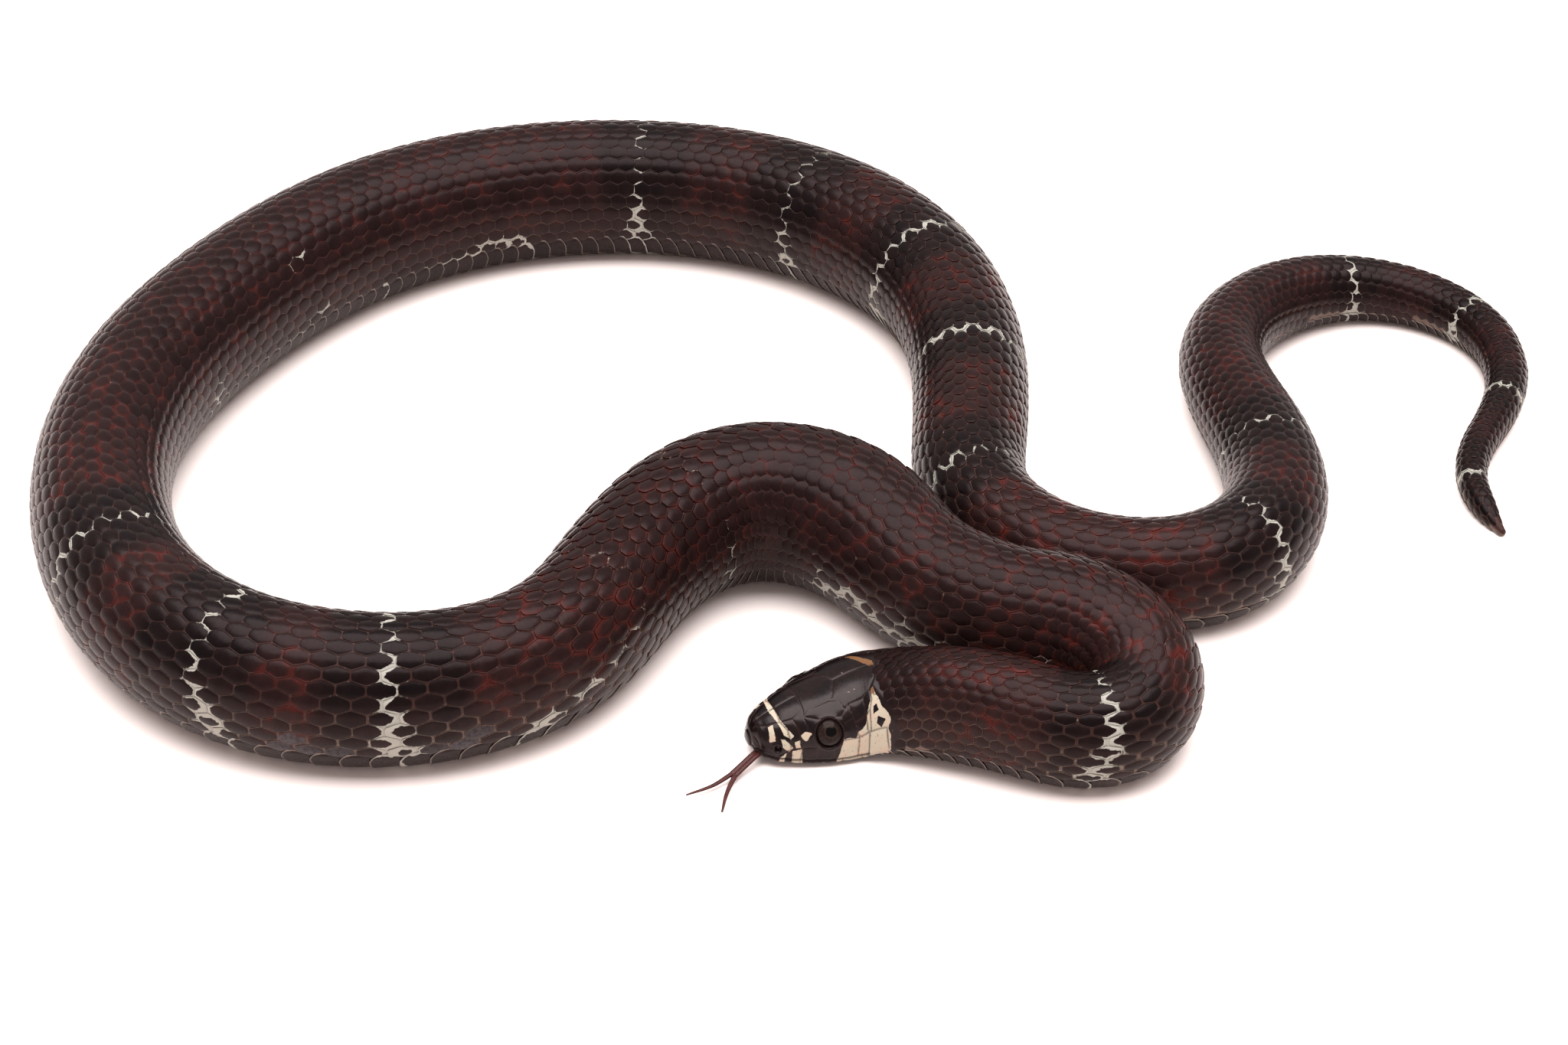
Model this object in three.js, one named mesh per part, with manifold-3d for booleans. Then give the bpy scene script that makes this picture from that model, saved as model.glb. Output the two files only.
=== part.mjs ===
// A milk snake lying in an easy coil with its tongue out, life size.
// Millimetres, +Z up. The belly rests on z = 0 and the origin is under the middle of the coil.
import * as THREE from 'three';
import { mergeVertices } from 'three/addons/utils/BufferGeometryUtils.js';
import Module from 'manifold-3d';

const wasm = await Module();
wasm.setup();

// How the snake lies: the snout points away from the heading, and the spine runs back from it.
const snout = { x: -11.7, y: -89, heading: 22 };
const headStraight = { from: 11, to: 17 };

// Each bend of the spine: its length in millimetres and its turn in degrees, left turns positive.
const bends = {
  throat: [[6, -29], [16, -15], [17, 10]],
  neckCurl: [[13, 66], [14, 70], [14, 36]],
  firstHump: [[16, -15], [20, -20], [19, 32], [23, 64], [28, 25]],
  frontReach: [[30, -43], [34, -43], [35, -35], [40, -27], [44, -26]],
  farReach: [[49, -21], [50, -35], [47, -35], [42, -34], [35, -29]],
  backHollow: [[25, -11], [23, 2], [23, 40], [24, 43], [26, 61], [29, 40]],
  hindTurn: [[28, 3], [26, -36], [26, -39], [26, -59], [26, -55]],
  tailEnd: [[26, -26], [33, 57]],
};

// Half the width of the body, by distance from the snout.
const girth = [
  [45, 9.1], [57, 8.9], [70, 9.2], [82, 10.7], [95, 11.6], [108, 11.4], [120, 11.5],
  [144, 13.3], [168, 13.3], [193, 12.2], [223, 11.6], [258, 12.1], [298, 12.3], [343, 12.4],
  [393, 13.2], [448, 13.7], [508, 13.4], [563, 13.1], [608, 11.6], [648, 10.7], [688, 9.4],
  [728, 9.6], [763, 9.1], [798, 8.2], [828, 7.4], [858, 5.7], [888, 4.4], [913, 3.5],
  [933, 2.8], [944, 2.0], [949.6, 0.6],
];

// The body is a little taller than it is wide, and the belly is pressed flat.
const roundness = 1.1;
const bellyRise = 0.88;

// The head: half width, crown, height of the lips, chin, and how square it is above and below.
const headShape = [
  { at: 0.0, half: 1.5, crown: 5.0, lip: 3.0, chin: 2.3, square: 2.0, jaw: 2.0 },
  { at: 0.7, half: 3.0, crown: 6.2, lip: 2.5, chin: 1.5, square: 2.2, jaw: 2.0 },
  { at: 2.2, half: 4.6, crown: 7.2, lip: 2.0, chin: 0.8, square: 2.4, jaw: 1.9 },
  { at: 5.0, half: 6.1, crown: 8.4, lip: 1.6, chin: 0.2, square: 2.6, jaw: 1.9 },
  { at: 9.0, half: 7.6, crown: 9.8, lip: 1.3, chin: 0.0, square: 2.7, jaw: 1.8 },
  { at: 13.0, half: 8.7, crown: 10.5, lip: 1.2, chin: 0.0, square: 2.8, jaw: 1.8 },
  { at: 18.0, half: 9.5, crown: 11.8, lip: 1.3, chin: 0.0, square: 2.7, jaw: 1.8 },
  { at: 23.0, half: 9.9, crown: 13.5, lip: 1.9, chin: 0.0, square: 2.4, jaw: 1.9 },
  { at: 28.0, half: 9.6, crown: 15.8, lip: 3.4, chin: 0.0, square: 2.1, jaw: 2.0 },
  { at: 36.0, half: 9.3, crown: 18.2, lip: 6.4, chin: 0.0, square: 2.0, jaw: 2.0 },
];

// Where the snake is parted, by distance from the snout, with thin gaps between the lengths.
const gap = 0.3;
const lengths = {
  neck: [28, 64],
  torso: [64, 96, 140, 186, 228, 276, 326, 376, 430, 484, 538, 588, 634, 668, 704, 744, 780, 812],
  tail: [812, 848, 884, 918, 949.6],
};

const ringSides = 20;
const ringStep = 5.5;
const ringTurn = 15;
const headRingSides = 36;
const headRings = [0, 0.3, 0.7, 1.3, 2.2, 3.4, 5, 7, 9, 11, 13, 15.5, 18, 20.5, 23, 25.5, 27.85];

const eye = { at: 11.9, out: 6.1, up: 5.75, radius: 2.6 };
const nostril = { at: 3.3, out: 4.6, up: 3.7, radius: 0.55, depth: 0.9 };
const mouthLine = { from: 21.5, height: 0.35, depth: 0.6 };
const plateSeam = { width: 0.32, depth: 0.26 };

// Seams between the crown plates, as [distance from the snout, share of the half width].
const crownSeams = {
  muzzle: [[1.6, 0], [4.6, 0], [8.5, 0]],
  innerNasals: [[4.4, -0.62], [4.6, 0], [4.4, 0.62]],
  frontEdge: [[8.0, -0.66], [8.5, -0.42], [8.5, 0.42], [8.0, 0.66]],
  browLeft: [[8.5, -0.42], [12.4, -0.38], [14.6, -0.26], [15.8, 0]],
  browRight: [[8.5, 0.42], [12.4, 0.38], [14.6, 0.26], [15.8, 0]],
  templeLeft: [[14.6, -0.26], [15.2, -0.46], [14.8, -0.66]],
  templeRight: [[14.6, 0.26], [15.2, 0.46], [14.8, 0.66]],
  parting: [[15.8, 0], [19.2, 0], [22.6, 0]],
  napeLeft: [[15.0, -0.7], [19, -0.62], [22.6, -0.3], [22.6, 0]],
  napeRight: [[15.0, 0.7], [19, 0.62], [22.6, 0.3], [22.6, 0]],
};

const tongue = {
  stem: [
    { at: 3.6, out: -1.3, up: 1.9 },
    { at: 0.4, out: -2.8, up: 2.0 },
    { at: -2.4, out: -4.3, up: 1.6 },
    { at: -5.2, out: -5.8, up: 1.1 },
  ],
  tines: [
    { lead: 0.4, bend: { at: -8.5, out: -6.4, up: 0.8 }, tip: { at: -13.6, out: -7.0, up: 0.7 } },
    { lead: -0.4, bend: { at: -7.2, out: -9.0, up: 0.8 }, tip: { at: -9.7, out: -13.2, up: 0.7 } },
  ],
  halfWidth: 0.82,
  thickness: 0.7,
  tineHalfWidth: 0.45,
  tipHalfWidth: 0.15,
};

const paint = {
  bodyDark: { color: 0x2b2022, roughness: 0.42 },
  headDark: { color: 0x1f191b, roughness: 0.25 },
  tailDark: { color: 0x292022, roughness: 0.42 },
  eyeDark: { color: 0x120e0f, roughness: 0.06 },
  tongueRed: { color: 0x431618, roughness: 0.35 },
};

// A smooth curve through a table of [distance, value] rows.
function along(rows, at) {
  const last = rows.length - 1;
  if (at <= rows[0][0]) return rows[0][1];
  if (at >= rows[last][0]) return rows[last][1];
  let i = 0;
  while (rows[i + 1][0] < at) i += 1;
  const slope = (k) => {
    if (k === 0) return (rows[1][1] - rows[0][1]) / (rows[1][0] - rows[0][0]);
    if (k === last) return (rows[last][1] - rows[last - 1][1]) / (rows[last][0] - rows[last - 1][0]);
    const before = rows[k][0] - rows[k - 1][0];
    const after = rows[k + 1][0] - rows[k][0];
    const riseBefore = (rows[k][1] - rows[k - 1][1]) / before;
    const riseAfter = (rows[k + 1][1] - rows[k][1]) / after;
    return (riseAfter * before + riseBefore * after) / (before + after);
  };
  const span = rows[i + 1][0] - rows[i][0];
  const t = (at - rows[i][0]) / span;
  const keep = 2 * t ** 3 - 3 * t ** 2 + 1;
  const leave = (t ** 3 - 2 * t ** 2 + t) * span * slope(i);
  const arrive = (t ** 3 - t ** 2) * span * slope(i + 1);
  return keep * rows[i][1] + leave + (1 - keep) * rows[i + 1][1] + arrive;
}

// The heading of the spine, then its course over the floor, one point each millimetre.
const headings = [0, headStraight.from, headStraight.to].map((at) => [at, snout.heading]);
for (const [length, turn] of Object.values(bends).flat()) {
  const [at, heading] = headings[headings.length - 1];
  headings.push([at + length, heading + turn]);
}
const spineLength = headings[headings.length - 1][0];
const course = [new THREE.Vector2(snout.x, snout.y)];
for (let step = 0; step < spineLength; step += 1) {
  const heading = THREE.MathUtils.degToRad(along(headings, step + 0.5));
  course.push(course[step].clone().add(new THREE.Vector2(Math.cos(heading), Math.sin(heading))));
}

// The place on the spine at a distance from the snout, with its direction and its right side.
function spineAt(at) {
  const heading = THREE.MathUtils.degToRad(along(headings, at));
  const forward = new THREE.Vector2(Math.cos(heading), Math.sin(heading));
  const right = new THREE.Vector2(-forward.y, forward.x);
  const inside = THREE.MathUtils.clamp(at, 0, spineLength - 0.001);
  const step = Math.floor(inside);
  const point = course[step].clone().lerp(course[step + 1], inside - step);
  point.addScaledVector(forward, at - inside);
  return { point, forward, right };
}

function headSpot({ at, out, up }) {
  const { point, right } = spineAt(at);
  return new THREE.Vector3(point.x + right.x * out, point.y + right.y * out, up);
}

// Head and body share one set of tables, so that the skin runs on without a step.
const bodyTable = (factor) => girth.map(([at, half]) => [at, half * factor]);
const headTable = (name) => headShape.map((row) => [row.at, row[name]]);
const halfWidths = [...headTable('half'), ...bodyTable(1)];
const crowns = [...headTable('crown'), ...bodyTable(roundness * (1 + bellyRise))];
const lips = [...headTable('lip'), ...bodyTable(roundness * bellyRise)];
const chins = [...headTable('chin'), ...bodyTable(0)];
const squareness = [...headTable('square'), [girth[0][0], 2], [spineLength, 2]];
const jawSquareness = [...headTable('jaw'), [girth[0][0], 2], [spineLength, 2]];

function sectionPoint(at, angle) {
  const half = along(halfWidths, at);
  const lip = along(lips, at);
  const chin = along(chins, at);
  const rise = along(crowns, at) - lip;
  const drop = (lip - chin) / bellyRise;
  const across = Math.cos(angle);
  const upward = Math.sin(angle);
  const power = 2 / along(upward > 0 ? squareness : jawSquareness, at);
  const out = half * Math.sign(across) * Math.abs(across) ** power;
  const up = lip + (upward > 0 ? rise : -drop) * Math.abs(upward) ** power;
  return { at, out, up: Math.max(up, chin, 0) };
}

function ring(at, sides) {
  const points = [];
  for (let side = 0; side < sides; side += 1) {
    points.push(headSpot(sectionPoint(at, (2 * Math.PI * (side + 0.5)) / sides)));
  }
  return points;
}

// A closed solid skinned over rings of like count, its ends filled with fans.
function loft(rings) {
  const sides = rings[0].length;
  const corners = rings.flat();
  const middles = [rings[0], rings[rings.length - 1]].map((end) => {
    const sum = end.reduce((total, point) => total.add(point), new THREE.Vector3());
    return sum.divideScalar(end.length);
  });
  const faces = [];
  for (let row = 0; row < rings.length - 1; row += 1) {
    for (let side = 0; side < sides; side += 1) {
      const a = row * sides + side;
      const b = row * sides + ((side + 1) % sides);
      faces.push(a, b, b + sides, a, b + sides, a + sides);
    }
  }
  const lastRow = (rings.length - 1) * sides;
  for (let side = 0; side < sides; side += 1) {
    const next = (side + 1) % sides;
    faces.push(corners.length, next, side);
    faces.push(corners.length + 1, lastRow + side, lastRow + next);
  }
  const geometry = new THREE.BufferGeometry();
  geometry.setFromPoints([...corners, ...middles]);
  geometry.setIndex(faces);
  return outward(geometry);
}

function outward(geometry) {
  const position = geometry.getAttribute('position');
  const index = geometry.getIndex();
  const [a, b, c] = [new THREE.Vector3(), new THREE.Vector3(), new THREE.Vector3()];
  let volume = 0;
  for (let i = 0; i < index.count; i += 3) {
    a.fromBufferAttribute(position, index.getX(i));
    b.fromBufferAttribute(position, index.getX(i + 1));
    c.fromBufferAttribute(position, index.getX(i + 2));
    volume += a.dot(b.cross(c));
  }
  if (volume < 0) index.array.reverse();
  return geometry;
}

function toSolid(geometry) {
  const bare = geometry.clone();
  bare.deleteAttribute('normal');
  bare.deleteAttribute('uv');
  const merged = mergeVertices(bare, 1e-5);
  return new wasm.Manifold(new wasm.Mesh({
    numProp: 3,
    vertProperties: new Float32Array(merged.getAttribute('position').array),
    triVerts: new Uint32Array(merged.getIndex().array),
  }));
}

// Only the largest closed surface is kept, so that no scrap of a cut is left.
function toGeometry(solid) {
  const pieces = solid.decompose().sort((one, other) => other.volume() - one.volume());
  const mesh = pieces[0].getMesh();
  const geometry = new THREE.BufferGeometry();
  geometry.setAttribute('position', new THREE.BufferAttribute(mesh.vertProperties, 3));
  geometry.setIndex(new THREE.BufferAttribute(mesh.triVerts, 1));
  return geometry;
}

// A strip with a flat section that follows a line of { spot, side, up } frames.
function strip(frames, halfAcross, halfDeep) {
  const rings = frames.map(({ spot, side, up }) => [[-1, -1], [1, -1], [1, 1], [-1, 1]].map(
    ([across, deep]) => spot.clone()
      .addScaledVector(side, across * halfAcross)
      .addScaledVector(up, deep * halfDeep),
  ));
  return loft(rings);
}

// The mouth line runs round the snout from one corner of the jaw to the other.
function mouthCutter() {
  const stops = [21.5, 19, 16.5, 14, 11.5, 9, 7, 5, 3.4, 2.2, 1.3, 0.7, 0.3];
  const left = stops.map((at) => ({ at, sign: -1 }));
  const right = [...stops].reverse().map((at) => ({ at, sign: 1 }));
  const spots = [...left, { at: -0.05, sign: 0 }, ...right].map(({ at, sign }) => {
    const half = along(halfWidths, Math.max(at, 0)) * Math.abs(sign);
    return headSpot({ at, out: sign * half, up: along(lips, Math.max(at, 0)) });
  });
  const frames = spots.map((spot, i) => {
    const before = spots[Math.max(i - 1, 0)];
    const after = spots[Math.min(i + 1, spots.length - 1)];
    const run = after.clone().sub(before).normalize();
    const outwards = new THREE.Vector3(run.y, -run.x, 0).normalize();
    return { spot, side: outwards, up: new THREE.Vector3(0, 0, 1) };
  });
  return strip(frames, mouthLine.depth, mouthLine.height / 2);
}

// A spot on the crown at a share of the half width, with the skin's own slope there.
function crownFrame(at, share) {
  const angle = Math.acos(THREE.MathUtils.clamp(share, -1, 1) ** 1);
  const spotAt = (where, turn) => headSpot(sectionPoint(where, turn));
  const spot = spotAt(at, angle);
  const run = spotAt(at + 0.2, angle).sub(spotAt(at - 0.2, angle));
  const across = spotAt(at, angle - 0.05).sub(spotAt(at, angle + 0.05));
  const up = run.cross(across).normalize();
  if (up.z < 0) up.negate();
  return { spot, up };
}

function seamCutter(points) {
  const fine = [];
  for (let i = 0; i < points.length - 1; i += 1) {
    const steps = Math.max(2, Math.ceil(Math.abs(points[i + 1][0] - points[i][0]) / 2));
    for (let k = 0; k < steps; k += 1) {
      const t = k / steps;
      fine.push(points[i].map((value, axis) => value + (points[i + 1][axis] - value) * t));
    }
  }
  fine.push(points[points.length - 1]);
  const spots = fine.map(([at, share]) => crownFrame(at, share));
  const frames = spots.map(({ spot, up }, i) => {
    const before = spots[Math.max(i - 1, 0)].spot;
    const after = spots[Math.min(i + 1, spots.length - 1)].spot;
    const side = after.clone().sub(before).cross(up).normalize();
    return { spot, side, up };
  });
  return strip(frames, plateSeam.width / 2, plateSeam.depth);
}

function ball(radius, detail) {
  return mergeVertices(new THREE.IcosahedronGeometry(radius, detail).deleteAttribute('normal')
    .deleteAttribute('uv'), 1e-5);
}

function eyeSpot(sign) {
  return headSpot({ at: eye.at, out: sign * eye.out, up: eye.up });
}

// The pit of a nostril is a short stub that points out of the cheek.
function nostrilCutter(sign) {
  const pit = new THREE.CylinderGeometry(nostril.radius, nostril.radius, nostril.depth * 2, 10);
  const spot = headSpot({ at: nostril.at, out: sign * nostril.out, up: nostril.up });
  const { right } = spineAt(nostril.at);
  const outwards = new THREE.Vector3(right.x * sign, right.y * sign, 0.25).normalize();
  const turn = new THREE.Quaternion().setFromUnitVectors(new THREE.Vector3(0, 1, 0), outwards);
  return pit.applyQuaternion(turn).translate(spot.x, spot.y, spot.z);
}

function tongueRings(spots, widths, thickness) {
  return spots.map((spot, i) => {
    const before = spots[Math.max(i - 1, 0)];
    const after = spots[Math.min(i + 1, spots.length - 1)];
    const run = after.clone().sub(before).normalize();
    const side = new THREE.Vector3(run.y, -run.x, 0).normalize();
    const up = side.clone().cross(run).normalize();
    const deep = thickness[i] / 2;
    return [[1, 0.3], [0.3, 1], [-0.3, 1], [-1, 0.3], [-1, -0.3], [-0.3, -1], [0.3, -1], [1, -0.3]].map(
      ([across, high]) => spot.clone()
        .addScaledVector(side, across * widths[i])
        .addScaledVector(up, high * deep),
    );
  });
}

// The stem of the tongue, and two tines that taper to their tips.
function tongueParts(grow) {
  const { halfWidth, thickness, tineHalfWidth, tipHalfWidth } = tongue;
  const stem = new THREE.CatmullRomCurve3(tongue.stem.map(headSpot)).getPoints(8);
  const stemWidths = stem.map(() => halfWidth + grow);
  const parts = [loft(tongueRings(stem, stemWidths, stem.map(() => thickness + 2 * grow)))];
  if (grow > 0) return parts;
  const [before, fork] = stem.slice(-2);
  const side = fork.clone().sub(before).cross(new THREE.Vector3(0, 0, 1)).normalize();
  for (const { lead, bend, tip } of tongue.tines) {
    const start = before.clone().lerp(fork, 0.3).addScaledVector(side, lead);
    const route = new THREE.CatmullRomCurve3([start, headSpot(bend), headSpot(tip)]);
    const spots = route.getPoints(9);
    const share = spots.map((spot, i) => i / (spots.length - 1));
    const widths = share.map((t) => tineHalfWidth + (tipHalfWidth - tineHalfWidth) * t);
    parts.push(loft(tongueRings(spots, widths, share.map((t) => thickness * (0.95 - 0.35 * t)))));
  }
  return parts;
}

function headGeometry() {
  let head = toSolid(loft(headRings.map((at) => ring(at, headRingSides))));
  const cutters = [mouthCutter(), ...tongueParts(gap)];
  for (const sign of [-1, 1]) {
    const spot = eyeSpot(sign);
    cutters.push(ball(eye.radius + gap, 3).translate(spot.x, spot.y, spot.z));
    cutters.push(nostrilCutter(sign));
  }
  for (const seam of Object.values(crownSeams)) cutters.push(seamCutter(seam));
  for (const cutter of cutters) head = head.subtract(toSolid(cutter));
  return toGeometry(head);
}

function tongueGeometry() {
  const [first, ...rest] = tongueParts(0).map(toSolid);
  return toGeometry(rest.reduce((whole, part) => whole.add(part), first));
}

function eyeGeometry(sign) {
  const spot = eyeSpot(sign);
  return ball(eye.radius, 3).translate(spot.x, spot.y, spot.z);
}

function lengthGeometry(from, to) {
  const start = from + gap / 2;
  const end = to === spineEnd ? to : to - gap / 2;
  const turn = Math.abs(along(headings, end) - along(headings, start));
  const count = Math.max(3, Math.round((end - start) / ringStep), Math.round(turn / ringTurn));
  const stops = [...Array(count + 1).keys()].map((i) => start + ((end - start) * i) / count);
  return loft(stops.map((at) => ring(at, ringSides)));
}

const spineEnd = lengths.tail[lengths.tail.length - 1];
const snake = new THREE.Group();

function addPiece(name, geometry, { color, roughness }) {
  const material = new THREE.MeshStandardMaterial({ color, roughness, metalness: 0 });
  const mesh = new THREE.Mesh(geometry, material);
  mesh.name = name;
  snake.add(mesh);
}

addPiece('head', headGeometry(), paint.headDark);
addPiece('eye_left', eyeGeometry(-1), paint.eyeDark);
addPiece('eye_right', eyeGeometry(1), paint.eyeDark);
addPiece('tongue', tongueGeometry(), paint.tongueRed);
for (const [part, stops] of Object.entries(lengths)) {
  const dark = part === 'tail' ? paint.tailDark : paint.bodyDark;
  for (let i = 0; i < stops.length - 1; i += 1) {
    const name = stops.length > 2 ? `${part}_${String(i + 1).padStart(2, '0')}` : part;
    addPiece(name, lengthGeometry(stops[i], stops[i + 1]), dark);
  }
}

export default snake;
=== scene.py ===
import math

import bpy
import numpy as np
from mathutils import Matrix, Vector


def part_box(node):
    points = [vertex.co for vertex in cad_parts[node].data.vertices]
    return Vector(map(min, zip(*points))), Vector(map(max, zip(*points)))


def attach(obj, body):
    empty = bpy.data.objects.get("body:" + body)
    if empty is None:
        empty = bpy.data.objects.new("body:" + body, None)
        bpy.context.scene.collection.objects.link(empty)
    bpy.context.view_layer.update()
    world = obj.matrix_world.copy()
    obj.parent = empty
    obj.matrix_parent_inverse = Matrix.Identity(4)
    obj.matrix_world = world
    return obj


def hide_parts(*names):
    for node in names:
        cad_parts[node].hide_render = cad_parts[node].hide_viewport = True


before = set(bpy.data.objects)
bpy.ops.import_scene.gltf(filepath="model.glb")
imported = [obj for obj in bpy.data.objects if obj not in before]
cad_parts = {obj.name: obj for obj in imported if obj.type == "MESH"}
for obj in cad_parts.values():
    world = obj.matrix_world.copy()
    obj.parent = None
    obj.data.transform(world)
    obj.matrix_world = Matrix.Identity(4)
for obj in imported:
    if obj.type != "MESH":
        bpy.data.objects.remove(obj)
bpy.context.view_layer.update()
print("frame loaded:", len(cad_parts), "nodes")

mm = 0.001
rng = np.random.default_rng(11)

# the line of the body on the floor, in millimetres and degrees, left turns positive
course = {
    "snout": (-11.7, -89.0),
    "heading": 22,
    "straight": (11, 17),
    "length": 950,
    "throat": [(6, -29), (16, -15), (17, 10)],
    "neckCurl": [(13, 66), (14, 70), (14, 36)],
    "firstHump": [(16, -15), (20, -20), (19, 32), (23, 64), (28, 25)],
    "frontReach": [(30, -43), (34, -43), (35, -35), (40, -27), (44, -26)],
    "farReach": [(49, -21), (50, -35), (47, -35), (42, -34), (35, -29)],
    "backHollow": [(25, -11), (23, 2), (23, 40), (24, 43), (26, 61), (29, 40)],
    "hindTurn": [(28, 3), (26, -36), (26, -39), (26, -59), (26, -55)],
    "tailEnd": [(26, -26), (33, 57)],
    "parts": [
        "throat", "neckCurl", "firstHump", "frontReach", "farReach", "backHollow", "hindTurn", "tailEnd",
    ],
}

# cross-sections: half width along the body, and the head's own rows
section = {
    "girth": [
        (45, 9.1), (57, 8.9), (70, 9.2), (82, 10.7), (95, 11.6), (108, 11.4), (120, 11.5), (144, 13.3),
        (168, 13.3), (193, 12.2), (223, 11.6), (258, 12.1), (298, 12.3), (343, 12.4), (393, 13.2),
        (448, 13.7),
        (508, 13.4), (563, 13.1), (608, 11.6), (648, 10.7), (688, 9.4), (728, 9.6), (763, 9.1), (798, 8.2),
        (828, 7.4), (858, 5.7), (888, 4.4), (913, 3.5), (933, 2.8), (944, 2.0), (949.6, 0.6),
    ],
    # the body's outline: how much it swells, full height and height of the widest line in half widths
    "roundness": 1.1,
    "height": 1.88,
    "bellyRise": 0.88,
    # the underside is cut flat at this share of its depth
    "bellyFlat": 0.88,
    # at, half width, crown, lip, chin, squareness above, squareness below
    "head": [
        (0, 1.5, 5.0, 3.0, 2.3, 2.0, 2.0), (0.7, 3.0, 6.2, 2.5, 1.5, 2.2, 2.0),
        (2.2, 4.6, 7.2, 2.0, 0.8, 2.4, 1.9), (5, 6.1, 8.4, 1.6, 0.2, 2.6, 1.9),
        (9, 7.6, 9.8, 1.3, 0, 2.7, 1.8), (13, 8.7, 10.5, 1.2, 0, 2.8, 1.8),
        (18, 9.5, 11.8, 1.3, 0, 2.7, 1.8), (23, 9.9, 13.5, 1.9, 0, 2.4, 1.9),
        (28, 9.6, 15.8, 3.4, 0, 2.1, 2.0),
        (36, 9.3, 18.2, 6.4, 0, 2.0, 2.0),
    ],
    "around": 241,
    "samples": 721,
    "step": 0.5,
    "end": 949.6,
}


def along(rows, at):
    # smooth line through the rows, held flat beyond both ends
    rows = np.asarray(rows, float)
    x = rows[:, 0]
    y = rows[:, 1]
    gap = np.diff(x)
    rise = np.diff(y) / gap
    slope = np.empty(len(x))
    slope[0] = rise[0]
    slope[-1] = rise[-1]
    slope[1:-1] = (rise[1:] * gap[:-1] + rise[:-1] * gap[1:]) / (gap[1:] + gap[:-1])
    q = np.clip(np.asarray(at, float), x[0], x[-1])
    i = np.clip(np.searchsorted(x, q, side="right") - 1, 0, len(x) - 2)
    h = gap[i]
    u = (q - x[i]) / h
    a = (2 * u**3 - 3 * u**2 + 1) * y[i]
    b = (u**3 - 2 * u**2 + u) * h * slope[i]
    c = (-2 * u**3 + 3 * u**2) * y[i + 1]
    d = (u**3 - u**2) * h * slope[i + 1]
    return a + b + c + d


def smooth(low, high, x):
    u = np.clip((x - low) / (high - low), 0, 1)
    return u * u * (3 - 2 * u)


def between(rows, at):
    return np.interp(at, [r[0] for r in rows], [r[1] for r in rows])


def bell(x):
    return np.exp(-(x**2))


def directions(turn):
    # level unit vectors, ahead and to the left
    cosine = np.cos(turn)
    sine = np.sin(turn)
    level = np.zeros_like(cosine)
    return np.stack([cosine, sine, level], axis=-1), np.stack([-sine, cosine, level], axis=-1)


def bodyLine():
    rows = [(at, course["heading"]) for at in (0, *course["straight"])]
    for name in course["parts"]:
        for reach, turn in course[name]:
            rows.append((rows[-1][0] + reach, rows[-1][1] + turn))
    steps, left = directions(np.radians(along(rows, np.arange(course["length"]) + 0.5)))
    line = np.vstack([[0, 0, 0], np.cumsum(steps, axis=0)]) + np.array([*course["snout"], 0])
    return rows, line


headingRows, spineLine = bodyLine()


def spineAt(at):
    at = np.asarray(at, float)
    i = np.clip(np.floor(at).astype(int), 0, course["length"] - 1)
    w = (at - i)[..., None]
    place = spineLine[i] * (1 - w) + spineLine[i + 1] * w
    turn = np.radians(along(headingRows, at))
    return place, turn


def besideSpine(at, out, up):
    place, turn = spineAt(at)
    return place + directions(turn)[1] * out + np.array([0, 0, up])


def sectionRows():
    rows = list(section["head"])
    k = section["roundness"]
    for at, half in section["girth"]:
        rows.append((at, half, k * section["height"] * half, k * section["bellyRise"] * half, 0, 2, 2))
    return np.array(rows)


sectionTable = sectionRows()


def surfaceGrid():
    # rings every half millimetre, each sampled evenly from belly centre over the back to belly centre
    stations = np.append(np.arange(0, section["end"], section["step"]), section["end"])
    values = [along(sectionTable[:, [0, k]], stations) for k in range(1, 7)]
    place, turn = spineAt(stations)
    angle = np.radians(np.linspace(-89.9, 269.9, section["samples"]))
    sine = np.sin(angle)
    cosine = np.cos(angle)
    even = np.linspace(-1, 1, section["around"])
    rings = []
    girths = []
    for i in range(len(stations)):
        half, crown, lip, chin, square, jaw = [v[i] for v in values]
        power = np.where(sine > 0, 2 / square, 2 / jaw)
        rise = np.where(sine > 0, crown - lip, (chin - lip) / section["bellyFlat"])
        out = half * np.sign(cosine) * np.abs(cosine) ** power
        up = np.maximum(lip + rise * np.abs(sine) ** power, max(chin, 0))
        walk = np.concatenate([[0], np.cumsum(np.hypot(np.diff(out), np.diff(up)))])
        top = np.interp(math.pi / 2, angle, walk)
        share = np.where(walk < top, (walk - top) / top, (walk - top) / (walk[-1] - top))
        rings.append(np.stack([np.interp(even, share, out), np.interp(even, share, up)], axis=1))
        girths.append(walk[-1] / 2)
    rings = np.array(rings)
    grid = place[:, None, :] + directions(turn)[1][:, None, :] * rings[:, :, :1]
    grid[:, :, 2] = rings[:, :, 1]
    ahead = np.gradient(grid, axis=0)
    normal = np.cross(np.gradient(grid, axis=1), ahead)
    normal = normal / np.maximum(np.linalg.norm(normal, axis=2, keepdims=True), 1e-9)
    # all normals point away from a line inside the body
    middle = place.copy()
    middle[:, 2] = grid[:, section["around"] // 2, 2] * 0.45
    away = np.sum((grid - middle[:, None, :]) * normal, axis=2)
    normal = normal * np.where(np.median(away) < 0, -1, 1)
    stretch = np.linalg.norm(ahead, axis=2) / np.gradient(stations)[:, None]
    return stations, grid, normal, np.array(girths), stretch, rings


stations, skinGrid, skinNormal, halfGirth, skinStretch, skinRings = surfaceGrid()
print("body line and sections laid out")


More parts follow.
